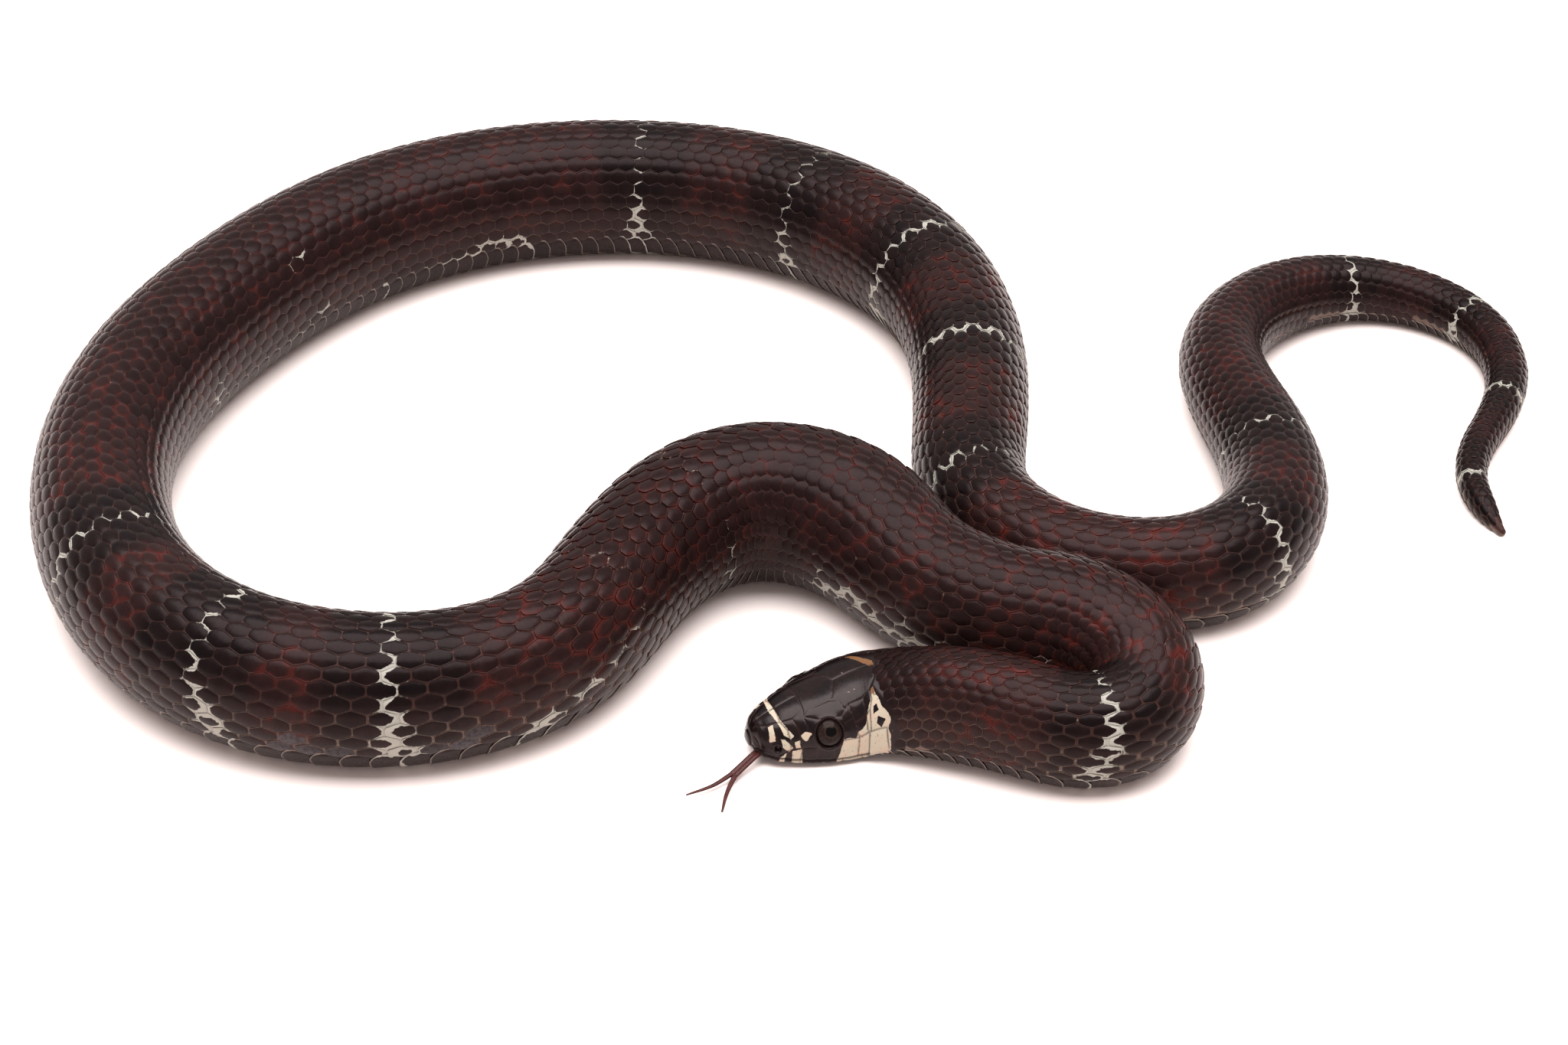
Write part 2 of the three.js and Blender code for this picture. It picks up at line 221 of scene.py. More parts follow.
def bilinear(table, at, share):
    # share runs from -1 (belly centre) over 0 (middle of the back) to 1
    i = np.interp(at, stations, np.arange(len(stations)))
    j = (np.clip(share, -1, 1) + 1) / 2 * (section["around"] - 1)
    i0 = np.clip(np.floor(i).astype(int), 0, len(stations) - 2)
    j0 = np.clip(np.floor(j).astype(int), 0, section["around"] - 2)
    u = i - i0
    v = j - j0
    if table.ndim == 3:
        u = u[..., None]
        v = v[..., None]
    low = table[i0, j0] * (1 - v) + table[i0, j0 + 1] * v
    high = table[i0 + 1, j0] * (1 - v) + table[i0 + 1, j0 + 1] * v
    return low * (1 - u) + high * u


def girthAt(at):
    return np.interp(at, stations, halfGirth)


def onSkin(at, share, lift):
    place = bilinear(skinGrid, at, share)
    normal = bilinear(skinNormal, at, share)
    normal = normal / np.maximum(np.linalg.norm(normal, axis=-1, keepdims=True), 1e-6)
    return place + normal * np.asarray(lift)[..., None]


def makeMesh(name, points, faceSets, attributes, bakeMap=None):
    # one array of faces for each number of corners
    mesh = bpy.data.meshes.new(name)
    loops = np.concatenate([faces.ravel() for faces in faceSets]).astype(np.int32)
    corners = np.concatenate([np.full(len(faces), faces.shape[1]) for faces in faceSets])
    mesh.vertices.add(len(points))
    mesh.vertices.foreach_set("co", (points * mm).astype(np.float32).ravel())
    mesh.loops.add(len(loops))
    mesh.loops.foreach_set("vertex_index", loops)
    mesh.polygons.add(len(corners))
    mesh.polygons.foreach_set("loop_start", (np.cumsum(corners) - corners).astype(np.int32))
    mesh.polygons.foreach_set("use_smooth", np.full(len(corners), True))
    if bakeMap is not None:
        layer = mesh.uv_layers.new(name="OFBake")
        layer.data.foreach_set("uv", bakeMap[loops].astype(np.float32).ravel())
    for key, values in attributes.items():
        layer = mesh.attributes.new(key, "FLOAT", "POINT")
        layer.data.foreach_set("value", np.ravel(values).astype(np.float32))
    mesh.update(calc_edges=True)
    mesh.validate()
    piece = bpy.data.objects.new(name, mesh)
    bpy.context.scene.collection.objects.link(piece)
    return piece


def gridFaces(rows, across, closed=False):
    i = np.arange(rows - 1)[:, None]
    j = np.arange(across if closed else across - 1)[None, :]
    a = i * across + j
    b = i * across + (j + 1) % across
    return np.stack([a, b, b + across, a + across], axis=-1).reshape(-1, 4)


def fan(ring, following, tip):
    return np.stack([ring, following, np.full(len(ring), tip)], axis=1)


# how the scales lie: rows round the back, column spacing in millimetres, share of the girth covered
layout = {
    "rows": [
        (22, 19.2), (40, 21), (560, 21), (660, 19.2), (740, 17.4), (812, 15.5), (830, 12.8), (870, 10),
        (910, 8.2), (949, 4.6),
    ],
    "spacing": [
        (22, 2.2), (30, 2.5), (50, 2.9), (100, 3.3), (160, 3.8), (240, 4.05), (520, 4.05), (610, 3.9),
        (650, 3.6), (700, 3.5), (760, 3.3), (812, 2.9), (830, 2.7), (949, 2.2),
    ],
    "cover": 0.644,
    "vent": 812,
    "from": 19.9,
    "to": 947.0,
}


def rowWidth(at):
    return 2 * layout["cover"] * girthAt(at) / between(layout["rows"], at)


def stepsAlong(start, end):
    at = [start]
    while at[-1] < end:
        at.append(at[-1] + float(between(layout["spacing"], at[-1])))
    return np.array(at)


columns = stepsAlong(layout["from"], layout["to"])

# markings: pale bars and red bands, shared by the skin and the scales
marking = {
    # at, lean down the flank, width on the back, width low on the flank, strength on the back, strength low
    "bars": [
        (27, -3, 1.2, 3.0, 0.0, 0.5), (61.3, -2, 1.0, 1.6, 0.58, 0.58), (95, 0, 1.2, 3.0, 0.0, 0.5),
        (119, 0, 1.4, 4.0, 0.0, 0.50), (136, 0, 1.4, 4.0, 0.0, 0.40), (178, 0, 1.4, 3.0, 0.20, 0.30),
        (206, 22, 1.4, 3.2, 0.15, 0.92), (246.4, -1, 1.3, 2.8, 0.80, 0.90), (276, -4, 1.3, 2.6, 0.82, 0.95),
        (310, -4, 1.3, 3.0, 0.60, 0.7), (347, -2, 1.4, 4.0, 0.0, 0.42), (383, 0, 1.4, 4.4, 0.0, 0.45),
        (513, 0, 1.3, 3.2, 0.42, 0.8), (552, 1, 1.3, 3.2, 0.44, 0.8), (589, 0, 1.3, 3.0, 0.80, 0.9),
        (627, 0, 1.3, 3.0, 0.80, 0.9), (667, 0, 1.1, 2.8, 0.56, 0.85), (696, 0, 1.2, 2.8, 0.0, 0.6),
        (726, -1, 1.1, 2.4, 0.62, 0.76), (759, 0, 1.1, 2.2, 0.50, 0.6), (787, 0, 1.1, 2.2, 0.0, 0.3),
        (812, 0, 1.1, 2.2, 0.0, 0.4), (846, 0, 1.1, 1.9, 0.92, 0.95), (874, 0, 1.0, 1.8, 0.92, 0.95),
        (905, 0, 1.0, 1.7, 0.9, 0.9), (935, 0, 0.9, 1.5, 0.8, 0.8),
    ],
    # pale streaks along the flank: places with shares of the girth, then width and strength
    "streaks": [
        ([(443, 0.80), (450, 0.72), (457, 0.68), (473, 0.60), (482, 0.60), (484, 0.80)], 1.5, 0.9),
        ([(405, 0.74), (410, 0.68), (423, 0.58)], 1.4, 0.66),
        ([(417, 0.30), (421, 0.28)], 1.2, 0.6),
        ([(146, -0.70), (136, -0.62), (128, -0.54), (121, -0.60), (114, -0.59), (106, -0.55)], 1.5, 0.78),
    ],
    # half width of the black beside a bar that shows on the back, and how softly it ends
    "black": [(60, 6.0), (240, 8.5), (700, 8.0), (820, 5.5)],
    "blackEnds": 4.0,
    "shows": 0.3,
    # shares of the girth between which a bar changes from its back to its flank values
    "flank": (0.30, 0.68),
    # shares of the girth between which red fades on the flank, and by how much
    "redFades": (0.45, 0.75, 0.45),
    "redStrength": [
        (28, 0.2), (36, 0.45), (46, 0.7), (52, 1.0), (58, 0.8), (72, 0.9), (80, 0.9), (92, 0.5), (150, 0.42),
        (200, 0.42), (225, 0.6), (300, 0.62), (335, 0.55), (360, 0.42), (520, 0.42), (560, 0.55), (640, 0.6),
        (690, 1.0), (730, 0.5), (800, 0.4), (915, 0.3), (940, 0.0),
    ],
}


def barCentre(place):
    # on the back a bar winds between two rows of joints, a quarter step beside a column
    spacing = between(layout["spacing"], columns)
    quarter = np.concatenate([columns + 0.25 * spacing, columns + 0.75 * spacing])
    return quarter[np.argmin(np.abs(quarter - place))]


def barAmount(at, share):
    low = smooth(*marking["flank"], np.abs(share))
    total = np.zeros(at.shape)
    for place, lean, wide, wideLow, strong, strongLow in marking["bars"]:
        centre = barCentre(place) + lean * low
        width = wide * (1 - low) + wideLow * low
        power = strong * (1 - low) + strongLow * low
        total = np.maximum(total, power * bell((at - centre) / width))
    girth = girthAt(at)
    for line, width, power in marking["streaks"]:
        for (a0, b0), (a1, b1) in zip(line[:-1], line[1:]):
            x, y = at - a0, (share - b0) * girth
            dx, dy = a1 - a0, (b1 - b0) * girth
            t = np.clip((x * dx + y * dy) / (dx**2 + dy**2), 0, 1)
            total = np.maximum(total, power * np.exp(-((x - t * dx) ** 2 + (y - t * dy) ** 2) / width**2))
    return total


def redAmount(at, share):
    # black close to the bars that show on the back, warm everywhere else
    shown = [bar[0] for bar in marking["bars"] if bar[4] >= marking["shows"]]
    near = np.min([np.abs(at - place) for place in shown], axis=0)
    fadeFrom, fadeTo, fadeBy = marking["redFades"]
    fade = 1 - fadeBy * smooth(fadeFrom, fadeTo, np.abs(share))
    red = smooth(0, marking["blackEnds"], near - between(marking["black"], at))
    return red * between(marking["redStrength"], at) * fade


# node helpers
def newMaterial(name):
    material = bpy.data.materials.new(name)
    material.use_nodes = True
    return material, material.node_tree, material.node_tree.nodes["Principled BSDF"]


def newGroup(name, colours, values):
    group = bpy.data.node_groups.new(name, "ShaderNodeTree")
    for kind, inputs in (("NodeSocketColor", colours), ("NodeSocketFloat", values)):
        for label, value in inputs.items():
            socket = group.interface.new_socket(name=label, in_out="INPUT", socket_type=kind)
            socket.default_value = value
    for label in ("Color", "Roughness", "Relief"):
        kind = "NodeSocketColor" if label == "Color" else "NodeSocketFloat"
        group.interface.new_socket(name=label, in_out="OUTPUT", socket_type=kind)
    return group, group.nodes.new("NodeGroupInput"), group.nodes.new("NodeGroupOutput")


def feed(tree, value, socket):
    if isinstance(value, (int, float, tuple)):
        socket.default_value = value
    else:
        tree.links.new(value, socket)


def math2(tree, kind, a, b, clamp=False):
    node = tree.nodes.new("ShaderNodeMath")
    node.operation = kind
    node.use_clamp = clamp
    feed(tree, a, node.inputs[0])
    feed(tree, b, node.inputs[1])
    return node.outputs[0]


def plus(tree, a, b, clamp=False):
    return math2(tree, "ADD", a, b, clamp)


def minus(tree, a, b):
    return math2(tree, "SUBTRACT", a, b)


def times(tree, a, b):
    return math2(tree, "MULTIPLY", a, b)


def ramp(tree, value, low, high, outLow=0.0, outHigh=1.0):
    node = tree.nodes.new("ShaderNodeMapRange")
    node.interpolation_type = "SMOOTHSTEP"
    keys = ("Value", "From Min", "From Max", "To Min", "To Max")
    for key, number in zip(keys, (value, low, high, outLow, outHigh)):
        feed(tree, number, node.inputs[key])
    return node.outputs["Result"]


def mixColour(tree, factor, a, b, kind="MIX"):
    node = tree.nodes.new("ShaderNodeMix")
    node.data_type = "RGBA"
    node.blend_type = kind
    for slot, value in ((0, factor), (6, a), (7, b)):
        feed(tree, value, node.inputs[slot])
    return node.outputs[2]


def noise(tree, scale, detail=3.0):
    place = tree.nodes.new("ShaderNodeTexCoord")
    node = tree.nodes.new("ShaderNodeTexNoise")
    node.inputs["Scale"].default_value = scale
    node.inputs["Detail"].default_value = detail
    node.inputs["Roughness"].default_value = 0.55
    tree.links.new(place.outputs["Object"], node.inputs["Vector"])
    return node.outputs["Fac"]


def readAttribute(tree, name):
    node = tree.nodes.new("ShaderNodeAttribute")
    node.attribute_name = name
    return node.outputs["Fac"]


def addRelief(tree, shader, height, strength, distance):
    bump = tree.nodes.new("ShaderNodeBump")
    bump.inputs["Strength"].default_value = strength
    bump.inputs["Distance"].default_value = distance
    tree.links.new(height, bump.inputs["Height"])
    tree.links.new(bump.outputs["Normal"], shader.inputs["Normal"])


def addPaint(tree, shader, group, sources, relief, distance):
    # a paint group fed by the mesh's own values
    node = tree.nodes.new("ShaderNodeGroup")
    node.node_tree = group
    for label, source in sources.items():
        tree.links.new(readAttribute(tree, source), node.inputs[label])
    tree.links.new(node.outputs["Color"], shader.inputs["Base Color"])
    tree.links.new(node.outputs["Roughness"], shader.inputs["Roughness"])
    addRelief(tree, shader, node.outputs["Relief"], relief, distance)
    return node


# colours of the animal, as linear light; some also hold painted floor bounce light and painted shade
paint = {
    "dark": (0.0020, 0.0012, 0.0014, 1),
    "darkWarm": (0.0120, 0.0048, 0.0044, 1),
    # paler base low on the flank: partly the flank's own colour, partly painted floor bounce light
    "darkLowAndBounce": (0.020, 0.0135, 0.0120, 1),
    "grey": (0.048, 0.043, 0.047, 1),
    "net": (0.026, 0.0122, 0.0100, 1),
    # paler net low on the flank: partly its own colour, partly painted floor bounce light
    "netLow": (0.112, 0.080, 0.066, 1),
    "red": (0.044, 0.0062, 0.0046, 1),
    "cream": (0.255, 0.245, 0.215, 1),
    "creamCold": (0.26, 0.248, 0.225, 1),
    "plateEdge": (0.165, 0.132, 0.115, 1),
    "cheek": (0.325, 0.288, 0.222, 1),
    "cheekWarm": (0.36, 0.26, 0.20, 1),
    "tan": (0.105, 0.050, 0.022, 1),
    # dark seams between the head plates, and painted shade in the mouth line, eye rims and nostrils
    "seam": (0.012, 0.0055, 0.005, 1),
    "irisDark": (0.0070, 0.0044, 0.0040, 1),
    "irisLight": (0.0150, 0.0090, 0.0080, 1),
    "irisRing": (0.020, 0.011, 0.008, 1),
    "irisEdge": (0.0030, 0.0022, 0.0022, 1),
    "pupil": (0.0015, 0.0015, 0.0015, 1),
    "tongueDark": (0.022, 0.0040, 0.0036, 1),
    "tongueLight": (0.042, 0.0066, 0.0056, 1),
    "tipDark": (0.032, 0.009, 0.008, 1),
    "tipLight": (0.060, 0.018, 0.015, 1),
}


# how strongly each value of the mesh works on the colour of a scale
mixing = {
    # the low flank's paler base mixes its own colour with painted floor bounce light
    "warmRed": 1.05, "warmTone": 0.30, "warmLow": 0.25, "paleLowAndBounce": 0.30, "shade": (0.72, 1.28),
    "redTone": 0.30, "redJitter": 0.6, "netJitter": 0.05, "netRed": 0.34, "netRedShare": 0.75,
    "bar": 0.56, "barLow": 0.46, "barTone": 0.55, "barInset": 0.10, "barJitter": 0.42,
    "rough": (0.26, 0.34), "roughCream": 0.12, "broadRelief": 0.6,
}


def scalePaint():
    # colour of one scale from its distance to the rim, the pale bars and the red bands
    colours = {
        "Dark": paint["dark"], "Warm": paint["darkWarm"], "Net": paint["net"], "Net low": paint["netLow"],
        "Red": paint["red"], "Cream": paint["cream"],
    }
    values = {"Net width": 0.26, "Rim": 0.5, "Bar": 0, "Redness": 0, "Tone": 0.5, "Low": 0, "Grey": 0}
    tree, given, result = newGroup("scalePaint", colours, values)
    g = given.outputs
    fine = noise(tree, 1500)
    broad = noise(tree, 260)
    jitter = minus(tree, fine, 0.5)
    # black beside the bars, warm dark brown between them
    warmth = times(tree, g["Redness"], mixing["warmRed"])
    warmth = plus(tree, warmth, times(tree, g["Tone"], mixing["warmTone"]), clamp=True)
    warmth = plus(tree, warmth, times(tree, g["Low"], mixing["warmLow"]), clamp=True)
    base = mixColour(tree, warmth, g["Dark"], g["Warm"])
    # low on the flank the base turns paler: partly its own colour, partly painted floor bounce light
    base = mixColour(tree, times(tree, g["Low"], mixing["paleLowAndBounce"]), base, paint["darkLowAndBounce"])
    shade = tree.nodes.new("ShaderNodeCombineColor")
    shadeAmount = ramp(tree, broad, 0.3, 0.7, *mixing["shade"])
    for k in range(3):
        tree.links.new(shadeAmount, shade.inputs[k])
    base = mixColour(tree, 1.0, base, shade.outputs[0], "MULTIPLY")
    greyMask = times(tree, g["Grey"], ramp(tree, fine, 0.35, 0.65, 0.35, 1.0))
    base = mixColour(tree, greyMask, base, paint["grey"])
    # red lies along the rims and fades towards the middle of a scale
    redPatch = ramp(tree, broad, 0.44, 0.70, -0.50, 0.62)
    redPatch = plus(tree, redPatch, times(tree, g["Tone"], mixing["redTone"]))
    redRim = plus(tree, g["Rim"], times(tree, jitter, mixing["redJitter"]))
    redMask = ramp(tree, minus(tree, times(tree, g["Redness"], redPatch), redRim), -0.45, 0.55)
    redMask = times(tree, redMask, ramp(tree, g["Redness"], 0.05, 0.6, 0.0, 0.95))
    base = mixColour(tree, redMask, base, g["Red"])
    # the net of paler rims
    netRim = plus(tree, g["Rim"], times(tree, jitter, mixing["netJitter"]))
    netMask = ramp(tree, netRim, 0.0, g["Net width"], 1.0, 0.0)
    # low on the flank the net turns paler: partly its own colour, partly painted floor bounce light
    netColour = mixColour(tree, g["Low"], g["Net"], g["Net low"])
    netRed = math2(tree, "MAXIMUM", redMask, times(tree, g["Redness"], mixing["netRed"]))
    netColour = mixColour(tree, times(tree, netRed, mixing["netRedShare"]), netColour, g["Red"])
    base = mixColour(tree, netMask, base, netColour)
    # the pale bars follow the rims and widen low on the flank
    reach = plus(tree, mixing["bar"], times(tree, g["Low"], mixing["barLow"]))
    uneven = plus(tree, ramp(tree, broad, 0.38, 0.62, 0.18, 1.0), times(tree, g["Tone"], mixing["barTone"]))
    reach = minus(tree, times(tree, times(tree, g["Bar"], reach), uneven), mixing["barInset"])
    barRim = plus(tree, g["Rim"], times(tree, jitter, mixing["barJitter"]))
    creamMask = ramp(tree, minus(tree, reach, barRim), -0.05, 0.07)
    base = mixColour(tree, creamMask, base, g["Cream"])
    tree.links.new(base, result.inputs["Color"])
    rough = ramp(tree, fine, 0.3, 0.7, *mixing["rough"])
    rough = plus(tree, rough, times(tree, creamMask, mixing["roughCream"]))
    tree.links.new(rough, result.inputs["Roughness"])
    relief = plus(tree, fine, times(tree, broad, mixing["broadRelief"]))
    tree.links.new(relief, result.inputs["Relief"])
    return tree


scalePaintGroup = scalePaint()


def scaleMaterial(name, cream, netLow, netWidth, relief):
    material, tree, shader = newMaterial(name)
    sources = {key: key.lower() for key in ("Rim", "Bar", "Redness", "Tone", "Low", "Grey")}
    node = addPaint(tree, shader, scalePaintGroup, sources, relief, 0.00003)
    node.inputs["Cream"].default_value = cream
    node.inputs["Net low"].default_value = netLow
    node.inputs["Net width"].default_value = netWidth
    shader.inputs["Specular IOR Level"].default_value = 0.080
    shader.inputs["Specular Tint"].default_value = (1.0, 0.76, 0.77, 1)
    return material


# one skin under all the scales, from the neck to the tip of the tail
skin = {
    "from": 27.0, "to": 949.0, "step": 1.0, "around": 96, "under": 0.07, "tip": 0.3, "flank": (0.34, 0.66),
}


def buildSkin():
    at = np.append(np.arange(skin["from"], skin["to"], skin["step"]), [949.2, section["end"]])
    share = np.linspace(-1, 1, skin["around"] + 1)[:-1]
    s, f = np.meshgrid(at, share, indexing="ij")
    points = onSkin(s, f, -skin["under"] * smooth(0.5, 3.0, girthAt(s) / 3)).reshape(-1, 3)
    ahead = directions(math.radians(headingRows[-1][1]))[0]
    tailEnd = points[-len(share):].mean(axis=0) + ahead * skin["tip"]
    last = (len(at) - 1) * len(share) + np.arange(len(share))
    faceSets = [gridFaces(len(at), len(share), closed=True), fan(last, np.roll(last, -1), len(points))]
    low = smooth(*skin["flank"], np.abs(f))
    values = {"bar": barAmount(s, f), "redness": redAmount(s, f), "low": low}
    values = {key: np.append(value, 0) for key, value in values.items()}
    values["tone"] = np.full(len(points) + 1, 0.5)
    for key in ("rim", "grey"):
        values[key] = np.zeros(len(points) + 1)
    return makeMesh("skin", np.vstack([points, tailEnd]), faceSets, values)


skinPiece = buildSkin()
# the skin's net low on the flank holds painted floor bounce light as well as its own paler colour
skinMaterial = scaleMaterial("skinBetweenScales", paint["cream"], paint["netLow"], 0.3, 0.4)
skinPiece.data.materials.append(skinMaterial)
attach(skinPiece, "root")
torsoNodes = [f"torso_{k:02d}" for k in range(1, 18)]
tailNodes = [f"tail_{k:02d}" for k in range(1, 5)]
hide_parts("neck", *torsoNodes, *tailNodes)
print("skin made")

# back and flank scales, each one a tilted plate with a rounded rear tip
scale = {
    # the plate is a rounded hexagon: its blunt ends and its full height in shares of the row width
    "blunt": 0.64,
    "gap": 0.075,
    "root": -0.04,
    # rear lift along the body: the neck's scales overlap more
    "tip": [(22, 0.08), (50, 0.14), (90, 0.24), (180, 0.22), (240, 0.11), (949, 0.10)],
    "crown": 0.19,
    "rimDepth": 0.30,
    # share of the row width over which a scale rises from its rim
    "rise": 0.52,
    # row width of a scale of full relief, narrower ones are flatter
    "size": 2.4,
    "jitter": {"size": 0.02, "turn": 0.02, "lift": 0.014},
    "flank": (0.30, 0.60),
    # the paler net of the flank, partly its own colour and partly painted floor bounce light, starts this
    # much higher up on the neck
    "netHigher": [(40, 0.12), (66, 0.0)],
    # size of a scale's patch in the bake map
    "patch": (0.014, 0.009),
    # first scale behind the crown plates, by distance round from the middle
    "start": [(0, 22.9), (5.0, 22.8), (7, 24.9), (9, 27.0), (11.5, 29.0), (13, 29.4), (40, 29.0)],
    # places of the plainest grey scales: along the body and share of the girth
    "grey": [(236, -0.58), (240, -0.64), (254, -0.62), (260, -0.60)],
    "greyShare": 0.012,
    "greyReach": 2.6,
    "perPiece": 172000,
    "rowsEachSide": 10,
    "to": 947.5,
    # the last row ends this share of a row above the belly plates
    "edge": 0.3,
    # the plate's outline: how round its sides are, and where and how far its corners are cut
    "softness": 0.006,
    "cornerFrom": 0.84,
    "cornerCut": 0.66,
    # inside a bend the plates stay longer than their columns and rise, outside they stretch less
    "inner": -0.75,
    "outer": -0.15,
    "innerRise": (0.22, 0.35),
}


def scalePlaces():
    places = []
    for j in range(-scale["rowsEachSide"], scale["rowsEachSide"] + 1):
        centres = columns + (0.5 if j % 2 else 0.0) * between(layout["spacing"], columns)
        centres = centres[centres < scale["to"]]
        t = np.abs(j) * rowWidth(centres)
        edge = layout["cover"] * girthAt(centres) - scale["edge"] * rowWidth(centres)
        keep = (t <= edge) & (centres > between(scale["start"], t))
        places.extend((s, j) for s in centres[keep])
    return np.array(sorted(places))


def plateShape():
    # local grid: u from front to rear tip, half height at each u in shares of the row width, v across
    u = np.array([-1.0, -0.97, -0.88, -0.62, -0.28, 0.0, 0.28, 0.62, 0.88, 0.97, 1.0])
    slant = 1 - np.sqrt(u**2 + scale["softness"])
    half = scale["blunt"] / 2 + (1 - scale["blunt"]) * np.maximum(slant, 0)
    corner = np.clip((np.abs(u) - scale["cornerFrom"]) / (1 - scale["cornerFrom"]), 0, 1)
    v = np.array([-1.0, -0.87, -0.52, 0.0, 0.52, 0.87, 1.0])
    return u, half * np.sqrt(1 - scale["cornerCut"] * corner**2.2), v


def outlineOf(rows, across):
    # the grid places round the rim of one plate
    left = [(a, 0) for a in range(rows)]
    rear = [(rows - 1, b) for b in range(1, across)]
    right = [(a, across - 1) for a in range(rows - 2, -1, -1)]
    front = [(0, b) for b in range(across - 2, 0, -1)]
    return np.array(left + rear + right + front).T


def buildScales():
    places = scalePlaces()
    u, half, v = plateShape()
    shape = (len(places), len(u), len(v))
    perTop = len(u) * len(v)
    s0, j = places.T
    spacing = between(layout["spacing"], s0)
    width = rowWidth(s0)
    share0 = j * width / girthAt(s0)
    stretch = bilinear(skinStretch, s0, share0)
    tight = np.where(stretch < 1, np.maximum(stretch, 0.34) ** scale["inner"], stretch ** scale["outer"])
    sizeJitter = 1 + rng.normal(0, scale["jitter"]["size"], len(s0))
    turnJitter = rng.normal(0, scale["jitter"]["turn"], len(s0))
    liftJitter = rng.normal(0, scale["jitter"]["lift"], len(s0))
    toneJitter = rng.uniform(0, 1, len(s0))
    greyPick = (rng.uniform(0, 1, len(s0)) < scale["greyShare"]) & (np.abs(share0) > 0.50) & (s0 > 130)
    for place, share in scale["grey"]:
        greyPick |= np.hypot(s0 - place, (share0 - share) * girthAt(s0)) < scale["greyReach"]
    greyJitter = np.where(greyPick, rng.uniform(0.5, 1.0, len(s0)), 0.0)

    # one value for each scale, in the shape of the grid
    def each(values):
        return values[:, None, None]

    alongPlate = u[None, :, None]
    acrossPlate = v[None, None, :]
    halfLength = each((spacing - scale["gap"]) / 2 * sizeJitter)
    halfHeight = (half[None, :] * width[:, None] - scale["gap"] * 0.55) * sizeJitter[:, None]
    halfHeight = np.maximum(halfHeight, 0.05)[:, :, None]
    x = np.broadcast_to(alongPlate * halfLength, shape)
    y = acrossPlate * halfHeight
    at = np.clip(each(s0) + (x - y * each(turnJitter)) * each(tight), 0.5, section["end"])
    share = (each(j) * rowWidth(at) + y + x * each(turnJitter)) / girthAt(at)
    # distance to the plate's outline, in millimetres
    toSide = (1 - np.abs(acrossPlate)) * halfHeight * 0.88
    toTip = (1 - np.abs(alongPlate)) * halfLength
    rim = np.minimum(toSide, toTip * 0.9 + 0.02 * (1 - np.abs(acrossPlate)))
    size = each(np.clip(width / scale["size"], 0.3, 1.0))
    pillow = 1 - (1 - np.clip(rim / each(scale["rise"] * width), 0, 1)) ** 2.6
    rearward = (alongPlate + 1) / 2
    slope = scale["root"] + (each(between(scale["tip"], s0)) - scale["root"]) * rearward
    rise, hinge = scale["innerRise"]
    slope = slope + rise * (np.maximum(each(tight), 1) - 1) * (rearward - hinge)
    lift = (slope + scale["crown"] * pillow) * size + each(liftJitter)
    # the top, and a rim going down into the skin
    rimA, rimB = outlineOf(len(u), len(v))
    lowLift = lift[:, rimA, rimB] - scale["rimDepth"] * size[:, 0]
    lowered = onSkin(at[:, rimA, rimB], share[:, rimA, rimB], lowLift)
    points = np.concatenate([onSkin(at, share, lift).reshape(len(s0), perTop, 3), lowered], axis=1)
    points[:, :, 2] = np.maximum(points[:, :, 2], 0.05)
    ringTop = rimA * len(v) + rimB
    ringLow = perTop + np.arange(len(rimA))
    sides = np.stack([ringTop, ringLow, np.roll(ringLow, -1), np.roll(ringTop, -1)], axis=1)
    plateFaces = np.vstack([gridFaces(len(u), len(v)), sides])[:, ::-1]

    def both(values):
        values = np.broadcast_to(values, shape)
        return np.concatenate([values.reshape(len(s0), perTop), values[:, rimA, rimB]], axis=1)

    values = {
        "rim": both(np.maximum(rim, 0)),
        "bar": both(barAmount(at, share)),
        "redness": both(redAmount(at, share)),
        "low": both(smooth(*scale["flank"], np.abs(share) + between(scale["netHigher"], at))),
        "tone": both(each(toneJitter)),
        "grey": both(each(greyJitter)),
    }
    # each plate is a small patch at its root's place on the skin's own unwrap
    patchU = both(rearward) * scale["patch"][0]
    patchV = both(acrossPlate) * scale["patch"][1]
    total = math.ceil(len(s0) / (scale["perPiece"] // (len(plateFaces) * 2)))
    perPiece = math.ceil(len(s0) / total)
    pieces = []
    for k in range(total):
        part = slice(k * perPiece, (k + 1) * perPiece)
        own = s0[part]
        rootU = 0.02 + 0.94 * (own - own.min()) / (own.max() - own.min())
        rootV = 0.5 + 0.46 * share0[part]
        uv = np.stack([rootU[:, None] + patchU[part], rootV[:, None] + patchV[part]], axis=-1)
        faces = (plateFaces[None] + (np.arange(len(own)) * points.shape[1])[:, None, None]).reshape(-1, 4)
        mine = {key: value[part] for key, value in values.items()}
        name = f"scales_{k + 1:02d}"
        piece = makeMesh(name, points[part].reshape(-1, 3), [faces], mine, uv.reshape(-1, 2))
        pieces.append((piece, own.mean()))
    return pieces, len(s0), len(plateFaces) * 2 * len(s0)


scalePieces, scaleCount, scaleTriangles = buildScales()
# the scales' net and base low on the flank hold painted floor bounce light as well as their own paler colour
backMaterial = scaleMaterial("scaleHorn", paint["cream"], paint["netLow"], 0.085, 0.55)
for piece, middle in scalePieces:
    piece.data.materials.append(backMaterial)
    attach(piece, "root")
print("scales made:", scaleCount, "with", scaleTriangles, "triangles in", len(scalePieces), "pieces")

# belly plates: one wide plate a step on the body, a staggered pair a step on the tail
belly = {
    "from": 20.0, "to": 945.0, "overlap": 1.10, "lapAcross": 0.02, "across": 25,
    "root": -0.26, "tip": 0.0, "sideRoot": -0.06, "sideTip": 0.20, "flank": (0.46, 0.62),
    "cornerFrom": 0.78, "cornerCut": 0.34, "rimWidth": 0.23, "barAt": 0.8, "barShare": 0.9,
    "patch": 0.0026, "mapLength": 930, "thickness": 0.10,
}


